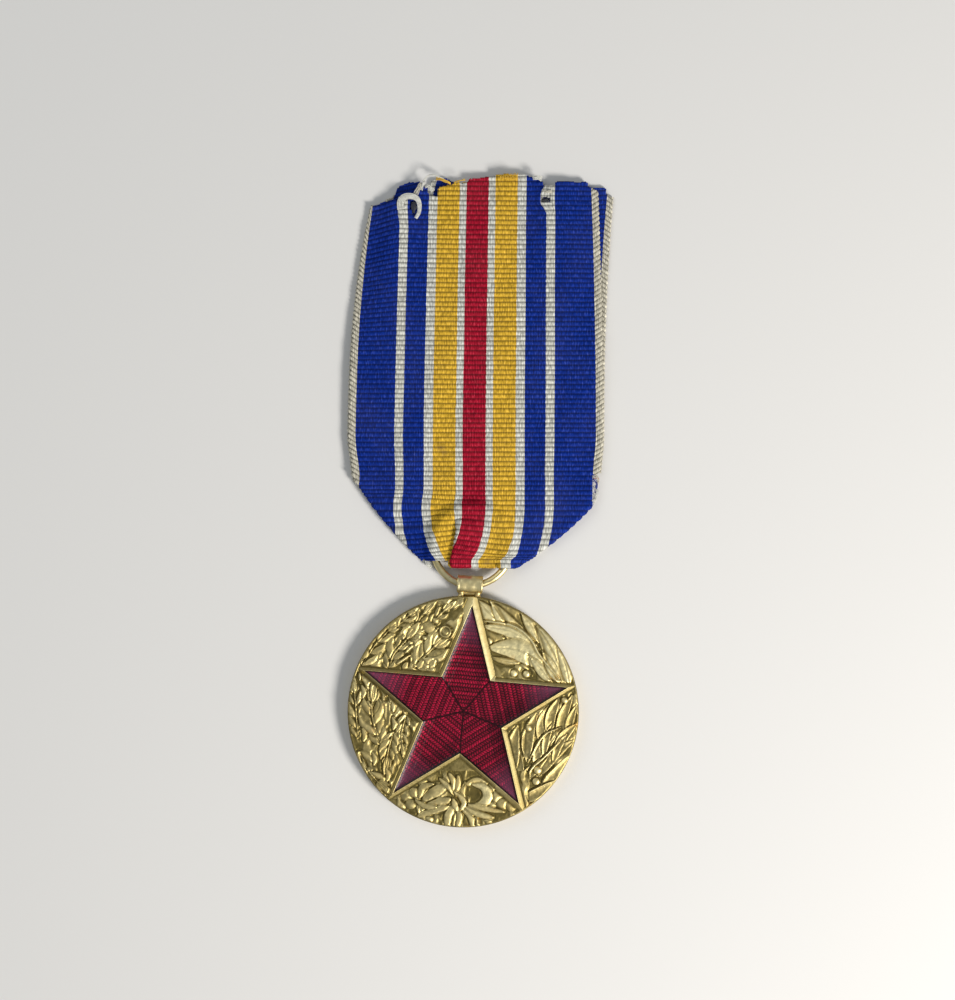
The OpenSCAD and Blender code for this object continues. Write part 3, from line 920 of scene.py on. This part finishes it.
def tilt_rows(s, y, shift):
    """Rise of each rib along the strip, so that ribs stay square to the leaning warps."""
    slope = np.gradient(shift, axis=0) / np.gradient(y, axis=0)
    window = smooth(y, ROLL_Y - 0.2, ROLL_Y + 2.4) * (1 - smooth(np.abs(s - PLEAT_S), 4, 10))
    pace = -slope * window * 0.4
    steps = (pace[:, 1:] + pace[:, :-1]) / 2 * np.diff(s, axis=1)
    rise = np.concatenate([np.zeros((len(s), 1)), np.cumsum(steps, axis=1)], axis=1)
    middle = np.argmin(np.abs(s[0] - PLEAT_S))
    return rise - rise[:, middle:middle + 1]


def kept_cloth(x, y, s, reach, front):
    """Where cloth is left: below the cut top, clear of the ring and the neck, and not in a pin hole."""
    keep = y < np.interp(s, *np.array(FRONT_TOP if front else BACK_TOP).T) + 0.07 * np.sin(s * 23)
    if front:
        near_ring = np.abs(np.hypot(x - RING[0], y - RING[1]) - RING_R) < WIRE_R + 0.45
        keep &= (reach < FRONT_FLAP) | (y > 30)
        keep &= ~(near_ring & (reach > 0.3))
    keep &= (x > -4.7) | (y > -8.5 - (x + 7.9) * 0.4) | (reach > 0.2)
    keep &= y > NECK_LOW
    keep &= (s < 17.35) | (y > 3.6 + 0.5 * np.sin(s * 9))
    for hole_x, hole_y, rx, ry in PIN_HOLES:
        ragged = 1 + 0.15 * np.sin(7 * np.arctan2(y - hole_y, x - hole_x))
        keep &= np.hypot((x - hole_x) / rx, (y - hole_y) / ry) > ragged
    return keep


def layer(s_row, heights, front):
    """One long layer: its points, where cloth is kept, and how far past a fold line each is."""
    s = np.broadcast_to(s_row, (len(heights), len(s_row))).copy()
    y = np.broadcast_to(heights[:, None], s.shape).copy()
    shift = np.empty_like(s)
    rise = np.empty_like(s)
    for i, height in enumerate(heights):
        shift[i], rise[i] = pleat(s_row, height)
    shift += drift(s, y, front)
    x = CENTRE_X + s + shift
    y = y + tilt_rows(s, y, shift)
    y = y - 0.17 * smooth(y, 18, 38) * np.clip(-s - 11.8, 0, 5.7)
    x, y, drop, reach = fold_corners(x, y)
    if front:
        z = front_height(x, y) + rise - drop
        up = smooth(y, 12, 40)
        curl = smooth(-s, 13.0, 18.6)
        z = z + 0.3 * up * bell(s + 12.0, 2.6) - curl * up * (z - 0.45)
        z = z + 0.2 * up * bell(s - 13.0, 3.0) - 0.15 * smooth(s, 14, 18.5) * up
    else:
        z = back_height(y) - 0.25 * rise * (drop <= 0) - drop
    return np.stack([x, y, z], -1), kept_cloth(x, y, s, reach, front), reach


def rolled_rows(front, back):
    """Rows that join a last front row to a first back row: they roll round the fold."""
    turn = (np.arange(1, ROLL_STEPS) / ROLL_STEPS * math.pi)[:, None]
    x = front[:, 0] + (back[:, 0] - front[:, 0]) * turn / math.pi
    y = front[:, 1] - ROLL_DEPTH * np.sin(turn)
    z = (front[:, 2] + back[:, 2]) / 2 + (front[:, 2] - back[:, 2]) / 2 * np.cos(turn)
    return np.stack([x, y, z], -1)


def side_rows(front, back, folded, s_row):
    """Rows beside the neck, where each layer just runs on, and where they are kept."""
    turn = (np.arange(1, ROLL_STEPS) / ROLL_STEPS * math.pi)[:, None]
    upper = turn < math.pi / 2
    y = np.where(upper, front[:, 1], back[:, 1]) - np.minimum(turn, math.pi - turn) * 0.95
    x, y, drop, reach = fold_corners(np.where(upper, front[:, 0], back[:, 0]), y)
    z = np.where(upper, front_height(x, y), back_height(y)) - drop
    keep = (y > NECK_LOW) & (np.abs(turn - math.pi / 2) > 0.3) & (reach < 1.5)
    return np.stack([x, y, z], -1), keep & (s_row > 0) & (folded < 0.2)


def ribbon_grid():
    """The whole strip as one grid: down the front, round the fold inside the ring and up the back."""
    s_row = strip_columns()
    count = int((RIBBON_TOP + 0.7 - ROLL_Y) / ROW)
    heights = ROLL_Y + np.arange(count, -1, -1) * ROW
    front, front_kept, folded = layer(s_row, heights, True)
    back, back_kept, _ = layer(s_row, heights[::-1], False)
    through = np.abs(front[-1, :, 0] - RING[0]) < NECK_HALF
    beside, beside_kept = side_rows(front[-1], back[0], folded[-1], s_row)
    fold = np.where(through[:, None], rolled_rows(front[-1], back[0]), beside)
    points = np.vstack([front, fold, back])
    keep = np.vstack([front_kept, through | beside_kept, back_kept])
    s = np.broadcast_to(s_row, keep.shape)
    v = np.broadcast_to((np.arange(len(keep)) * ROW)[:, None], keep.shape)
    return points, keep, s, v


def weave(points, s, v):
    """Outer and inner skin of the cloth: ribs along each normal, and beaded edges."""
    along = np.gradient(points, axis=0)
    across = np.gradient(points, axis=1)
    normal = np.cross(along, across)
    normal /= np.maximum(np.linalg.norm(normal, axis=-1), 1e-9)[..., None]
    edge = smooth(np.abs(s), HALF_W - 1.0, HALF_W - 0.5)
    uneven = 1 + 0.25 * np.sin(v * 1.7 + np.sin(s * 0.8) * 2) * np.sin(s * 0.9 + v * 0.31)
    twist = EDGE_TWIST * np.clip(np.abs(s) - HALF_W + 1.1, 0, None)
    wave = np.abs(np.sin(math.pi * (v / RIB + twist)))
    rib = wave * RIB_H * (1 + 0.9 * edge) * uneven
    bead = 0.14 * edge * wave
    side = across / np.maximum(np.linalg.norm(across, axis=-1), 1e-9)[..., None]
    points = points + side * (np.sign(s) * (bead - 0.06 * edge))[..., None]
    rounding = 1 - 0.75 * smooth(np.abs(s), HALF_W - 0.2, HALF_W + 0.02)
    outer = points + normal * ((CLOTH_T / 2 + rib) * rounding)[..., None]
    inner = points - normal * ((CLOTH_T / 2 + 0.5 * rib) * rounding)[..., None]
    outer[..., 2] = np.maximum(outer[..., 2], 0.01)
    inner[..., 2] = np.maximum(inner[..., 2], 0.01)
    return outer, inner


def ribbon_mesh():
    """The strip as a closed skin, with a UV of (across, along)."""
    points, keep, s, v = ribbon_grid()
    outer, inner = weave(points, s, v)
    rows, cols = keep.shape
    quads = grid_faces(rows, cols)
    quads = quads[keep.ravel()[quads].all(axis=1)]
    edges = np.concatenate([quads[:, [i, (i + 1) % 4]] for i in range(4)])
    _, first, counts = np.unique(np.sort(edges, axis=1), axis=0, return_index=True, return_counts=True)
    rim = edges[first[counts == 1]]
    size = rows * cols
    wall = np.stack([rim[:, 1], rim[:, 0], rim[:, 0] + size, rim[:, 1] + size], -1)
    faces = np.concatenate([quads, quads[:, ::-1] + size, wall])
    used = np.zeros(2 * size, bool)
    used[faces.ravel()] = True
    new = np.cumsum(used) - 1
    both = np.concatenate([outer.reshape(-1, 3), inner.reshape(-1, 3)])[used]
    uv = np.stack([np.tile(s.ravel(), 2) / UV_ACROSS + 0.5, np.tile(v.ravel(), 2) / UV_ALONG], -1)[used]
    return both, new[faces], uv


# Loose warps: colour, how many, half width at the start and at the end, radius, and the way they run
BUNDLES = (
    ("white", 12, 0.54, 0.17, 0.075, (-11.3, 42.2), (-11.4, 43.3), (-10.85, 44.0), (-9.9, 44.1),
     (-9.05, 43.7), (-8.7, 42.8), (-8.75, 41.8), (-9.2, 40.9)),
    ("cream", 5, 0.35, 0.2, 0.06, (-9.2, 44.4), (-8.8, 45.3), (-8.4, 46.0)),
    ("white", 4, 0.25, 0.1, 0.06, (-8.5, 45.0), (-8.2, 45.7), (-7.9, 46.3)),
    ("white", 4, 0.2, 0.3, 0.06, (-7.9, 45.5), (-7.3, 45.5), (-6.7, 44.8)),
    ("white", 3, 0.1, 0.06, 0.06, (-8.2, 46.2), (-7.5, 47.0), (-6.6, 47.1), (-5.5, 46.7), (-4.5, 46.1)),
    ("yellow", 4, 0.22, 0.12, 0.07, (-6.3, 46.6), (-5.5, 46.5), (-4.8, 46.2), (-4.2, 45.9)),
    ("yellow", 2, 0.08, 0.1, 0.06, (-3.7, 46.1), (-2.9, 46.3), (-2.1, 46.5)),
    ("yellow", 11, 1.3, 1.4, 0.05, (4.2, 46.5), (4.25, 46.9), (4.2, 47.3)),
    ("white", 6, 0.3, 0.35, 0.07, (7.7, 46.7), (8.3, 46.8), (9.0, 46.6)),
    ("cream", 3, 0.2, 0.15, 0.06, (9.2, 45.0), (9.8, 44.7), (10.5, 44.8)),
    ("cream", 4, 0.2, 0.15, 0.06, (16.7, 3.9), (17.2, 3.0), (16.9, 1.9)),
    ("blue", 4, 0.25, 0.15, 0.05, (16.4, 3.2), (17.0, 2.6), (16.8, 1.2)),
    ("white", 5, 0.25, 0.2, 0.05, (16.5, 2.2), (17.1, 1.4), (16.6, 0.3)),
    ("red", 2, 0.2, 0.1, 0.045, (16.6, 3.5), (17.2, 3.2), (16.9, 2.3)),
    ("white", 4, 0.2, 0.3, 0.05, (16.4, 1.2), (16.8, 0.4), (16.3, -0.4)),
    ("white", 8, 0.55, 0.4, 0.07, (-7.7, -8.2), (-7.4, -8.9), (-6.9, -9.5)),
    ("cream", 5, 0.35, 0.2, 0.06, (-6.9, -8.4), (-6.6, -9.0), (-6.5, -9.6)),
)
LYING_LOW, LYING_HIGH = 0.52, 1.32


def strand(path, share, width, radius, wave):
    """One thread of a bundle: it keeps its place across the bundle and wavers a little."""
    along = np.gradient(path, axis=0)
    side = np.stack([-along[:, 1], along[:, 0]], -1) / np.linalg.norm(along, axis=1)[:, None]
    t = np.linspace(0, 1, len(path))
    place = path + side * (share * width + 0.04 * np.sin(9 * t + wave))[:, None]
    lying = LYING_LOW if abs(path[0, 1]) < 10 else LYING_HIGH
    arch = 0.3 * np.sin(math.pi * (0.12 + 0.76 * t))
    height = lying + arch + 0.07 * np.cos(share * 1.5) + 0.03 * np.sin(wave)
    return tube_mesh(np.column_stack([place, height]), radius, 6)


def loose_threads(low_y, high_y):
    """Frayed ends and pulled threads between two heights, with the stripe that each comes from."""
    parts, dyes = [], []
    names = sorted(COLOURS)
    for colour, count, first_w, last_w, radius, *knots in BUNDLES:
        if not low_y < knots[0][1] < high_y:
            continue
        path = curve_points(knots, 6 * len(knots))
        width = np.linspace(first_w, last_w, len(path))
        for i in range(count):
            thread = strand(path, (2 * i + 1) / count - 1, width, radius, 2.4 * i + knots[0][0])
            parts.append(thread)
            dyes.append(np.full(len(thread[0]), names.index(colour) / len(names) + 0.01))
    return *join(parts), np.concatenate(dyes)


def stripe_stops():
    """Edges of the stripes across the strip, as shares of its width, with each one's colour."""
    total = sum(width for _, width in STRIPES)
    place = 0.0
    for name, width in STRIPES:
        yield place / total, COLOURS[name]
        place += width


# ---- materials of the pieces
COLOURS = {
    "cream": rgb(192, 185, 166), "white": rgb(202, 200, 189), "blue": rgb(0, 44, 130),
    "yellow": rgb(212, 167, 52), "red": rgb(160, 18, 44),
}


def gilt(name, cavity=None, dull=0.41, tint=(208, 190, 134)):
    """Worn gilding with fine pits and rubbing, and painted light: a pale painted highlight on what stands
    up and olive-brown painted shade in what lies deep.
    """
    m = Shader(name)
    broad = m.noise(170, 5)
    fine = m.noise(1500, 6, 0.7)
    darker = rgb(tint[0] - 16, tint[1] - 20, tint[2] - 24)
    colour = m.mix(m.spread(broad, 0.35, 0.68), rgb(*tint), darker)
    if cavity:
        uneven = m.math("MULTIPLY", m.math("SUBTRACT", fine, 0.5), 0.3)
        depth = m.math("ADD", m.attribute(cavity), uneven)
        # Painted shade: olive brown where the surface lies deep.
        colour = m.mix(m.spread(depth, 0.1, 0.62), rgb(112, 99, 58), colour)
        # Painted highlight: pale where the surface stands up.
        colour = m.mix(m.spread(depth, 0.66, 0.98, 0.0, 0.7), colour, rgb(244, 230, 176))
    colour = m.mix(m.spread(m.noise(420, 3), 0.62, 0.76, 0.0, 0.4), colour, rgb(184, 132, 62))
    m.set(Base_Color=colour, Metallic=1.0)
    rough = m.spread(fine, 0.3, 0.7, dull - 0.06, dull + 0.16)
    m.set(Roughness=m.math("ADD", rough, m.spread(broad, 0.4, 0.7, 0.0, 0.1)))
    grain = m.math("ADD", fine, m.math("MULTIPLY", m.noise(5200, 2), 0.5))
    m.set(Normal=m.bump(grain, 0.00003, 0.55))
    return m.material


def floor_with_painted_light():
    """The engine-turned floor under the enamel: bright dashes with dark gaps between them, as painted
    highlight and painted shade.
    """
    m = Shader("engine_turned_floor")
    # Painted shade in the gaps, painted highlight on the dash crests.
    colour = m.mix(m.spread(m.attribute("cavity"), 0.16, 0.66), rgb(58, 16, 24), rgb(255, 240, 238))
    m.set(Base_Color=colour, Metallic=0.2, Roughness=0.4)
    return m.material


def enamel_glass():
    """Clear crimson enamel over the floor, hazy in the tips, with painted shade along the walls and a
    gloss.
    """
    m = Shader("crimson_enamel")
    m.tree.nodes.remove(m.surface)
    cloud = m.noise(240, 4)
    reach = m.attribute("reach")
    tint = m.mix(m.spread(cloud, 0.35, 0.7), (0.80, 0.11, 0.26, 1), (0.75, 0.09, 0.23, 1))
    tint = m.mix(m.spread(reach, 8.5, 15.5, 0.0, 0.7), tint, (0.64, 0.11, 0.28, 1))
    # Painted shade: the enamel is darkened along the walls of the cell.
    painted_wall_shade = m.spread(m.attribute("gap"), 0.14, 0.36, 0.9, 0.0)
    clear = m.node("BsdfTransparent", {"Color": m.mix(painted_wall_shade, tint, (0.08, 0.03, 0.04, 1))})
    haze = m.node("BsdfDiffuse", {"Color": m.mix(painted_wall_shade, rgb(150, 84, 112), (0.02, 0.012, 0.015, 1))})
    body = m.node("MixShader", {"Fac": m.spread(reach, 8.5, 15.0, 0.02, 0.4), 1: clear, 2: haze})
    gloss = m.node("BsdfGlossy", {"Color": (1, 1, 1, 1), "Roughness": 0.34})
    ripple = m.bump(m.noise(2400, 2), 0.0001, 0.6)
    m.feed(gloss.inputs["Normal"], ripple)
    edge = m.node("Fresnel", {"IOR": 1.26, "Normal": ripple})
    m.feed(m.output.inputs["Surface"], m.node("MixShader", {"Fac": edge, 1: body, 2: gloss}))
    return m.material


STAINS = ((-4.8, 39.9, 0.9), (-4.2, 40.8, 0.6), (4.0, 56.4, 0.9))
BLACK = (0.0, 0.0, 0.0, 1)


def rib_crest(m, s, v):
    """0 in the grooves between ribs and 1 on their crests, which slant along the twisted edges."""
    outer = m.math("SUBTRACT", m.math("ABSOLUTE", s), HALF_W - 1.1)
    twist = m.math("MULTIPLY", m.math("MAXIMUM", outer, 0.0), EDGE_TWIST)
    phase = m.math("ADD", m.math("DIVIDE", v, RIB), twist)
    return m.math("ABSOLUTE", m.math("SINE", m.math("MULTIPLY", phase, math.pi)))


def stained(m, colour, s, v, speck):
    """The strip's colour with old stains on it, broken up by the warps."""
    here = m.node("CombineXYZ", {0: s, 1: v})
    for stain_s, stain_v, radius in STAINS:
        away = m.node("VectorMath", {0: here, 1: (stain_s, stain_v, 0)}, operation="DISTANCE")
        spot = m.spread(away.outputs["Value"], 0.0, radius, 0.7, 0.0)
        spot = m.math("MULTIPLY", spot, m.spread(speck, 0.35, 0.6))
        colour = m.mix(spot, colour, rgb(72, 60, 62))
    return colour


def woven_silk():
    """Ribbed silk: stripes across the strip, shaded grooves between ribs, single warps and old stains."""
    m = Shader("ribbed_silk")
    uv = m.node("SeparateXYZ", {0: m.node("UVMap", uv_map="UVMap")})
    s = m.math("MULTIPLY", m.math("SUBTRACT", uv.outputs[0], 0.5), UV_ACROSS)
    v = m.math("MULTIPLY", uv.outputs[1], UV_ALONG)
    strip = m.node("CombineXYZ", {0: m.math("MULTIPLY", s, 4.0), 1: m.math("MULTIPLY", v, 0.45)})
    threads = m.noise(1.0, 2, 0.5, at=strip.outputs[0])
    cell = m.node("CombineXYZ", {0: m.math("MULTIPLY", s, 5.2), 1: m.math("DIVIDE", v, RIB)})
    speck = m.noise(1.0, 1, 0.5, at=cell.outputs[0])
    jitter = m.math("MULTIPLY", m.math("SUBTRACT", speck, 0.5), 0.16)
    place = m.math("DIVIDE", m.math("ADD", m.math("ADD", s, jitter), HALF_W), 2 * HALF_W)
    colour = m.bands(place, list(stripe_stops()))
    # Painted shade in the grooves between ribs.
    colour = m.mix(m.spread(rib_crest(m, s, v), 0.0, 0.8, 0.7, 0.0), colour, BLACK)
    colour = m.mix(m.spread(speck, 0.3, 0.5, 0.35, 0.0), colour, BLACK)
    glint = m.mix(1.0, colour, (1.7, 1.7, 1.7, 1), "MULTIPLY")
    colour = m.mix(m.spread(speck, 0.5, 0.72, 0.0, 0.6), colour, glint)
    colour = m.mix(m.spread(threads, 0.3, 0.7, 0.0, 0.3), colour, BLACK)
    colour = m.mix(m.spread(speck, 0.58, 0.85, 0.0, 0.05), colour, rgb(235, 240, 250))
    colour = m.mix(m.spread(m.noise(140, 5), 0.45, 0.75, 0.0, 0.05), colour, rgb(110, 100, 90))
    m.set(Base_Color=stained(m, colour, s, v, speck))
    m.set(Roughness=m.spread(threads, 0.3, 0.7, 0.55, 0.8), Specular_IOR_Level=0.1)
    warp = m.math("ABSOLUTE", m.math("SINE", m.math("MULTIPLY", s, math.pi / 0.24)))
    m.set(Normal=m.bump(m.math("ADD", warp, m.math("MULTIPLY", threads, 0.8)), 0.00005, 0.7))
    return m.material


def thread_fibre():
    """Off-white sewing thread with fine fibres along it."""
    m = Shader("sewing_thread")
    fibre = m.noise(2600, 4)
    m.set(Base_Color=m.mix(m.spread(fibre, 0.3, 0.7), rgb(214, 206, 186), rgb(150, 140, 120)))
    m.set(Roughness=0.85, Sheen_Weight=0.3, Normal=m.bump(fibre, 0.00003, 0.6))
    return m.material


def dyed_fibre():
    """Loose silk threads, each in the colour of its stripe, with fine fibres along it."""
    m = Shader("loose_silk")
    stops = [(i / len(COLOURS), COLOURS[name]) for i, name in enumerate(sorted(COLOURS))]
    colour = m.bands(m.attribute("dye"), stops)
    fibre = m.noise(2600, 4)
    m.set(Base_Color=m.mix(m.spread(fibre, 0.4, 0.75, 0.0, 0.4), colour, rgb(60, 56, 60)))
    m.set(Roughness=0.8, Normal=m.bump(fibre, 0.00003, 0.6))
    return m.material


def pale_floor():
    """Matt, pale and plain."""
    m = Shader("pale_floor")
    m.set(Base_Color=(0.62, 0.60, 0.57, 1), Roughness=0.9)
    return m.material


# ---- putting the pieces in place
def add(name, mesh, material, body, slot, replaces=(), uv=None, **attributes):
    """Makes a piece from (points, faces), joins it to its body and hides the CAD nodes that it replaces.
    The slot is not used.
    """
    piece = mesh_object(name, mesh[0], [mesh[1]], uv, **attributes)
    piece.data.materials.append(material)
    if body:
        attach(piece, body)
    if replaces:
        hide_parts(*replaces)
    return piece


def make_disc():
    """The disc and the engine-turned floor of its cell, as one piece with two materials."""
    *body, cavity = struck_disc()
    *floor, pebbles = star_floor()
    disc = add("struck_disc", join([body, floor]), gilt("gilt_relief", "cavity"), "medal", "gilt_bronze",
               ("medal_disc",), cavity=np.concatenate([cavity, pebbles]))
    disc.data.materials.append(floor_with_painted_light())
    index = np.repeat(np.array([0, 1], np.int32), (len(body[1]), len(floor[1])))
    disc.data.polygons.foreach_set("material_index", index)


def make_medal():
    """The disc, its enamel, the tube with its braze, and the ring."""
    make_disc()
    *enamel, reach, gap = enamel_mesh()
    add("enamel_fill", enamel, enamel_glass(), "medal", "red_enamel", ("enamel_star",),
        reach=reach, gap=gap)
    worn = gilt("gilt_tube_wear", None, 0.36, (226, 210, 158))
    add("drawn_tube", tube_body(), worn, "medal", "gilt_tube", ("suspension_tube",))
    filler = gilt("braze_metal", None, 0.42, (196, 176, 124))
    add("braze_fillet", braze(), filler, "medal", "solder", ("solder_bead",))
    wire = gilt("gilt_wire", None, 0.3, (218, 204, 156))
    add("wire_ring", ring_body(), wire, "ring", "ring_wire", ("suspension_ring",))


# Loose threads: the body that they ride on, and the heights between which they start
FRAYS = (
    ("top_frays", "ribbon", 10, 60), ("corner_frays", "ribbon", 0, 10), ("neck_frays", "loop", -20, 0),
)


def make_ribbon():
    """The strip, its loose threads and the stitches in its folded corners."""
    *strip, uv = ribbon_mesh()
    ribbon = add("silk_ribbon", strip, woven_silk(), None, "striped_ribbon",
                 ("ribbon", "ribbon_loop"), uv=uv)
    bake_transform(ribbon)
    for name, body, low_y, high_y in FRAYS:
        *threads, dye = loose_threads(low_y, high_y)
        add(name, threads, dyed_fibre(), body, "striped_ribbon", dye=dye)
    for side in ("left", "right"):
        node = side + "_corner_tack"
        add(side + "_cross_stitch", tack_body(node), thread_fibre(), "loop", "thread", (node,))


# ---- studio and camera, in metres
FLOOR_HALF = 0.6
FLOOR_DROP = 0.02 * MM
# Soft round lights that face the object: name, place, diameter, power and colour
LIGHTS = (
    ("key", (0.31, -0.24, 0.28), 0.14, 3.1, (1.0, 0.98, 0.95)),
    ("fill", (-0.30, 0.25, 0.35), 0.4, 0.7, (0.92, 0.96, 1.0)),
)
SKY = (0.86, 0.93, 1.0, 1)
SKY_STRENGTH = 0.36
CAMERA_PLACE = (-0.29 * MM, 0.19 * MM, 0.26)
SENSOR = 36.0
VIEW_SPAN = 145.35 * MM


def area_light(name, place, size, power, colour):
    """A round area light that faces the origin."""
    data = bpy.data.lights.new(name, "AREA")
    data.shape = "DISK"
    data.size = size
    data.energy = power
    data.color = colour
    light = bpy.data.objects.new(name, data)
    light.location = place
    light.rotation_euler = (-Vector(place)).to_track_quat("-Z", "Y").to_euler()
    bpy.context.collection.objects.link(light)


def make_studio():
    """A plain pale floor, two soft lights and a pale sky."""
    mesh = bpy.data.meshes.new("floor")
    sides = ((-1, -1), (1, -1), (1, 1), (-1, 1))
    corners = [(x * FLOOR_HALF, y * FLOOR_HALF, -FLOOR_DROP) for x, y in sides]
    mesh.from_pydata(corners, [], [(0, 1, 2, 3)])
    floor = bpy.data.objects.new("floor", mesh)
    floor.data.materials.append(pale_floor())
    bpy.context.collection.objects.link(floor)
    for light in LIGHTS:
        area_light(*light)
    world = bpy.data.worlds.new("studio")
    world.use_nodes = True
    background = world.node_tree.nodes["Background"]
    background.inputs["Color"].default_value = SKY
    background.inputs["Strength"].default_value = SKY_STRENGTH
    bpy.context.scene.world = world


def make_camera():
    """A camera that looks straight down on the object, as wide as VIEW_SPAN at the floor."""
    data = bpy.data.cameras.new("camera")
    data.sensor_width = SENSOR
    data.lens = SENSOR * CAMERA_PLACE[2] / VIEW_SPAN
    data.clip_start = 0.01
    camera = bpy.data.objects.new("camera", data)
    camera.location = CAMERA_PLACE
    bpy.context.collection.objects.link(camera)
    bpy.context.scene.camera = camera
    bpy.context.scene.view_settings.view_transform = "Standard"


make_camera()
make_studio()
make_medal()
make_ribbon()
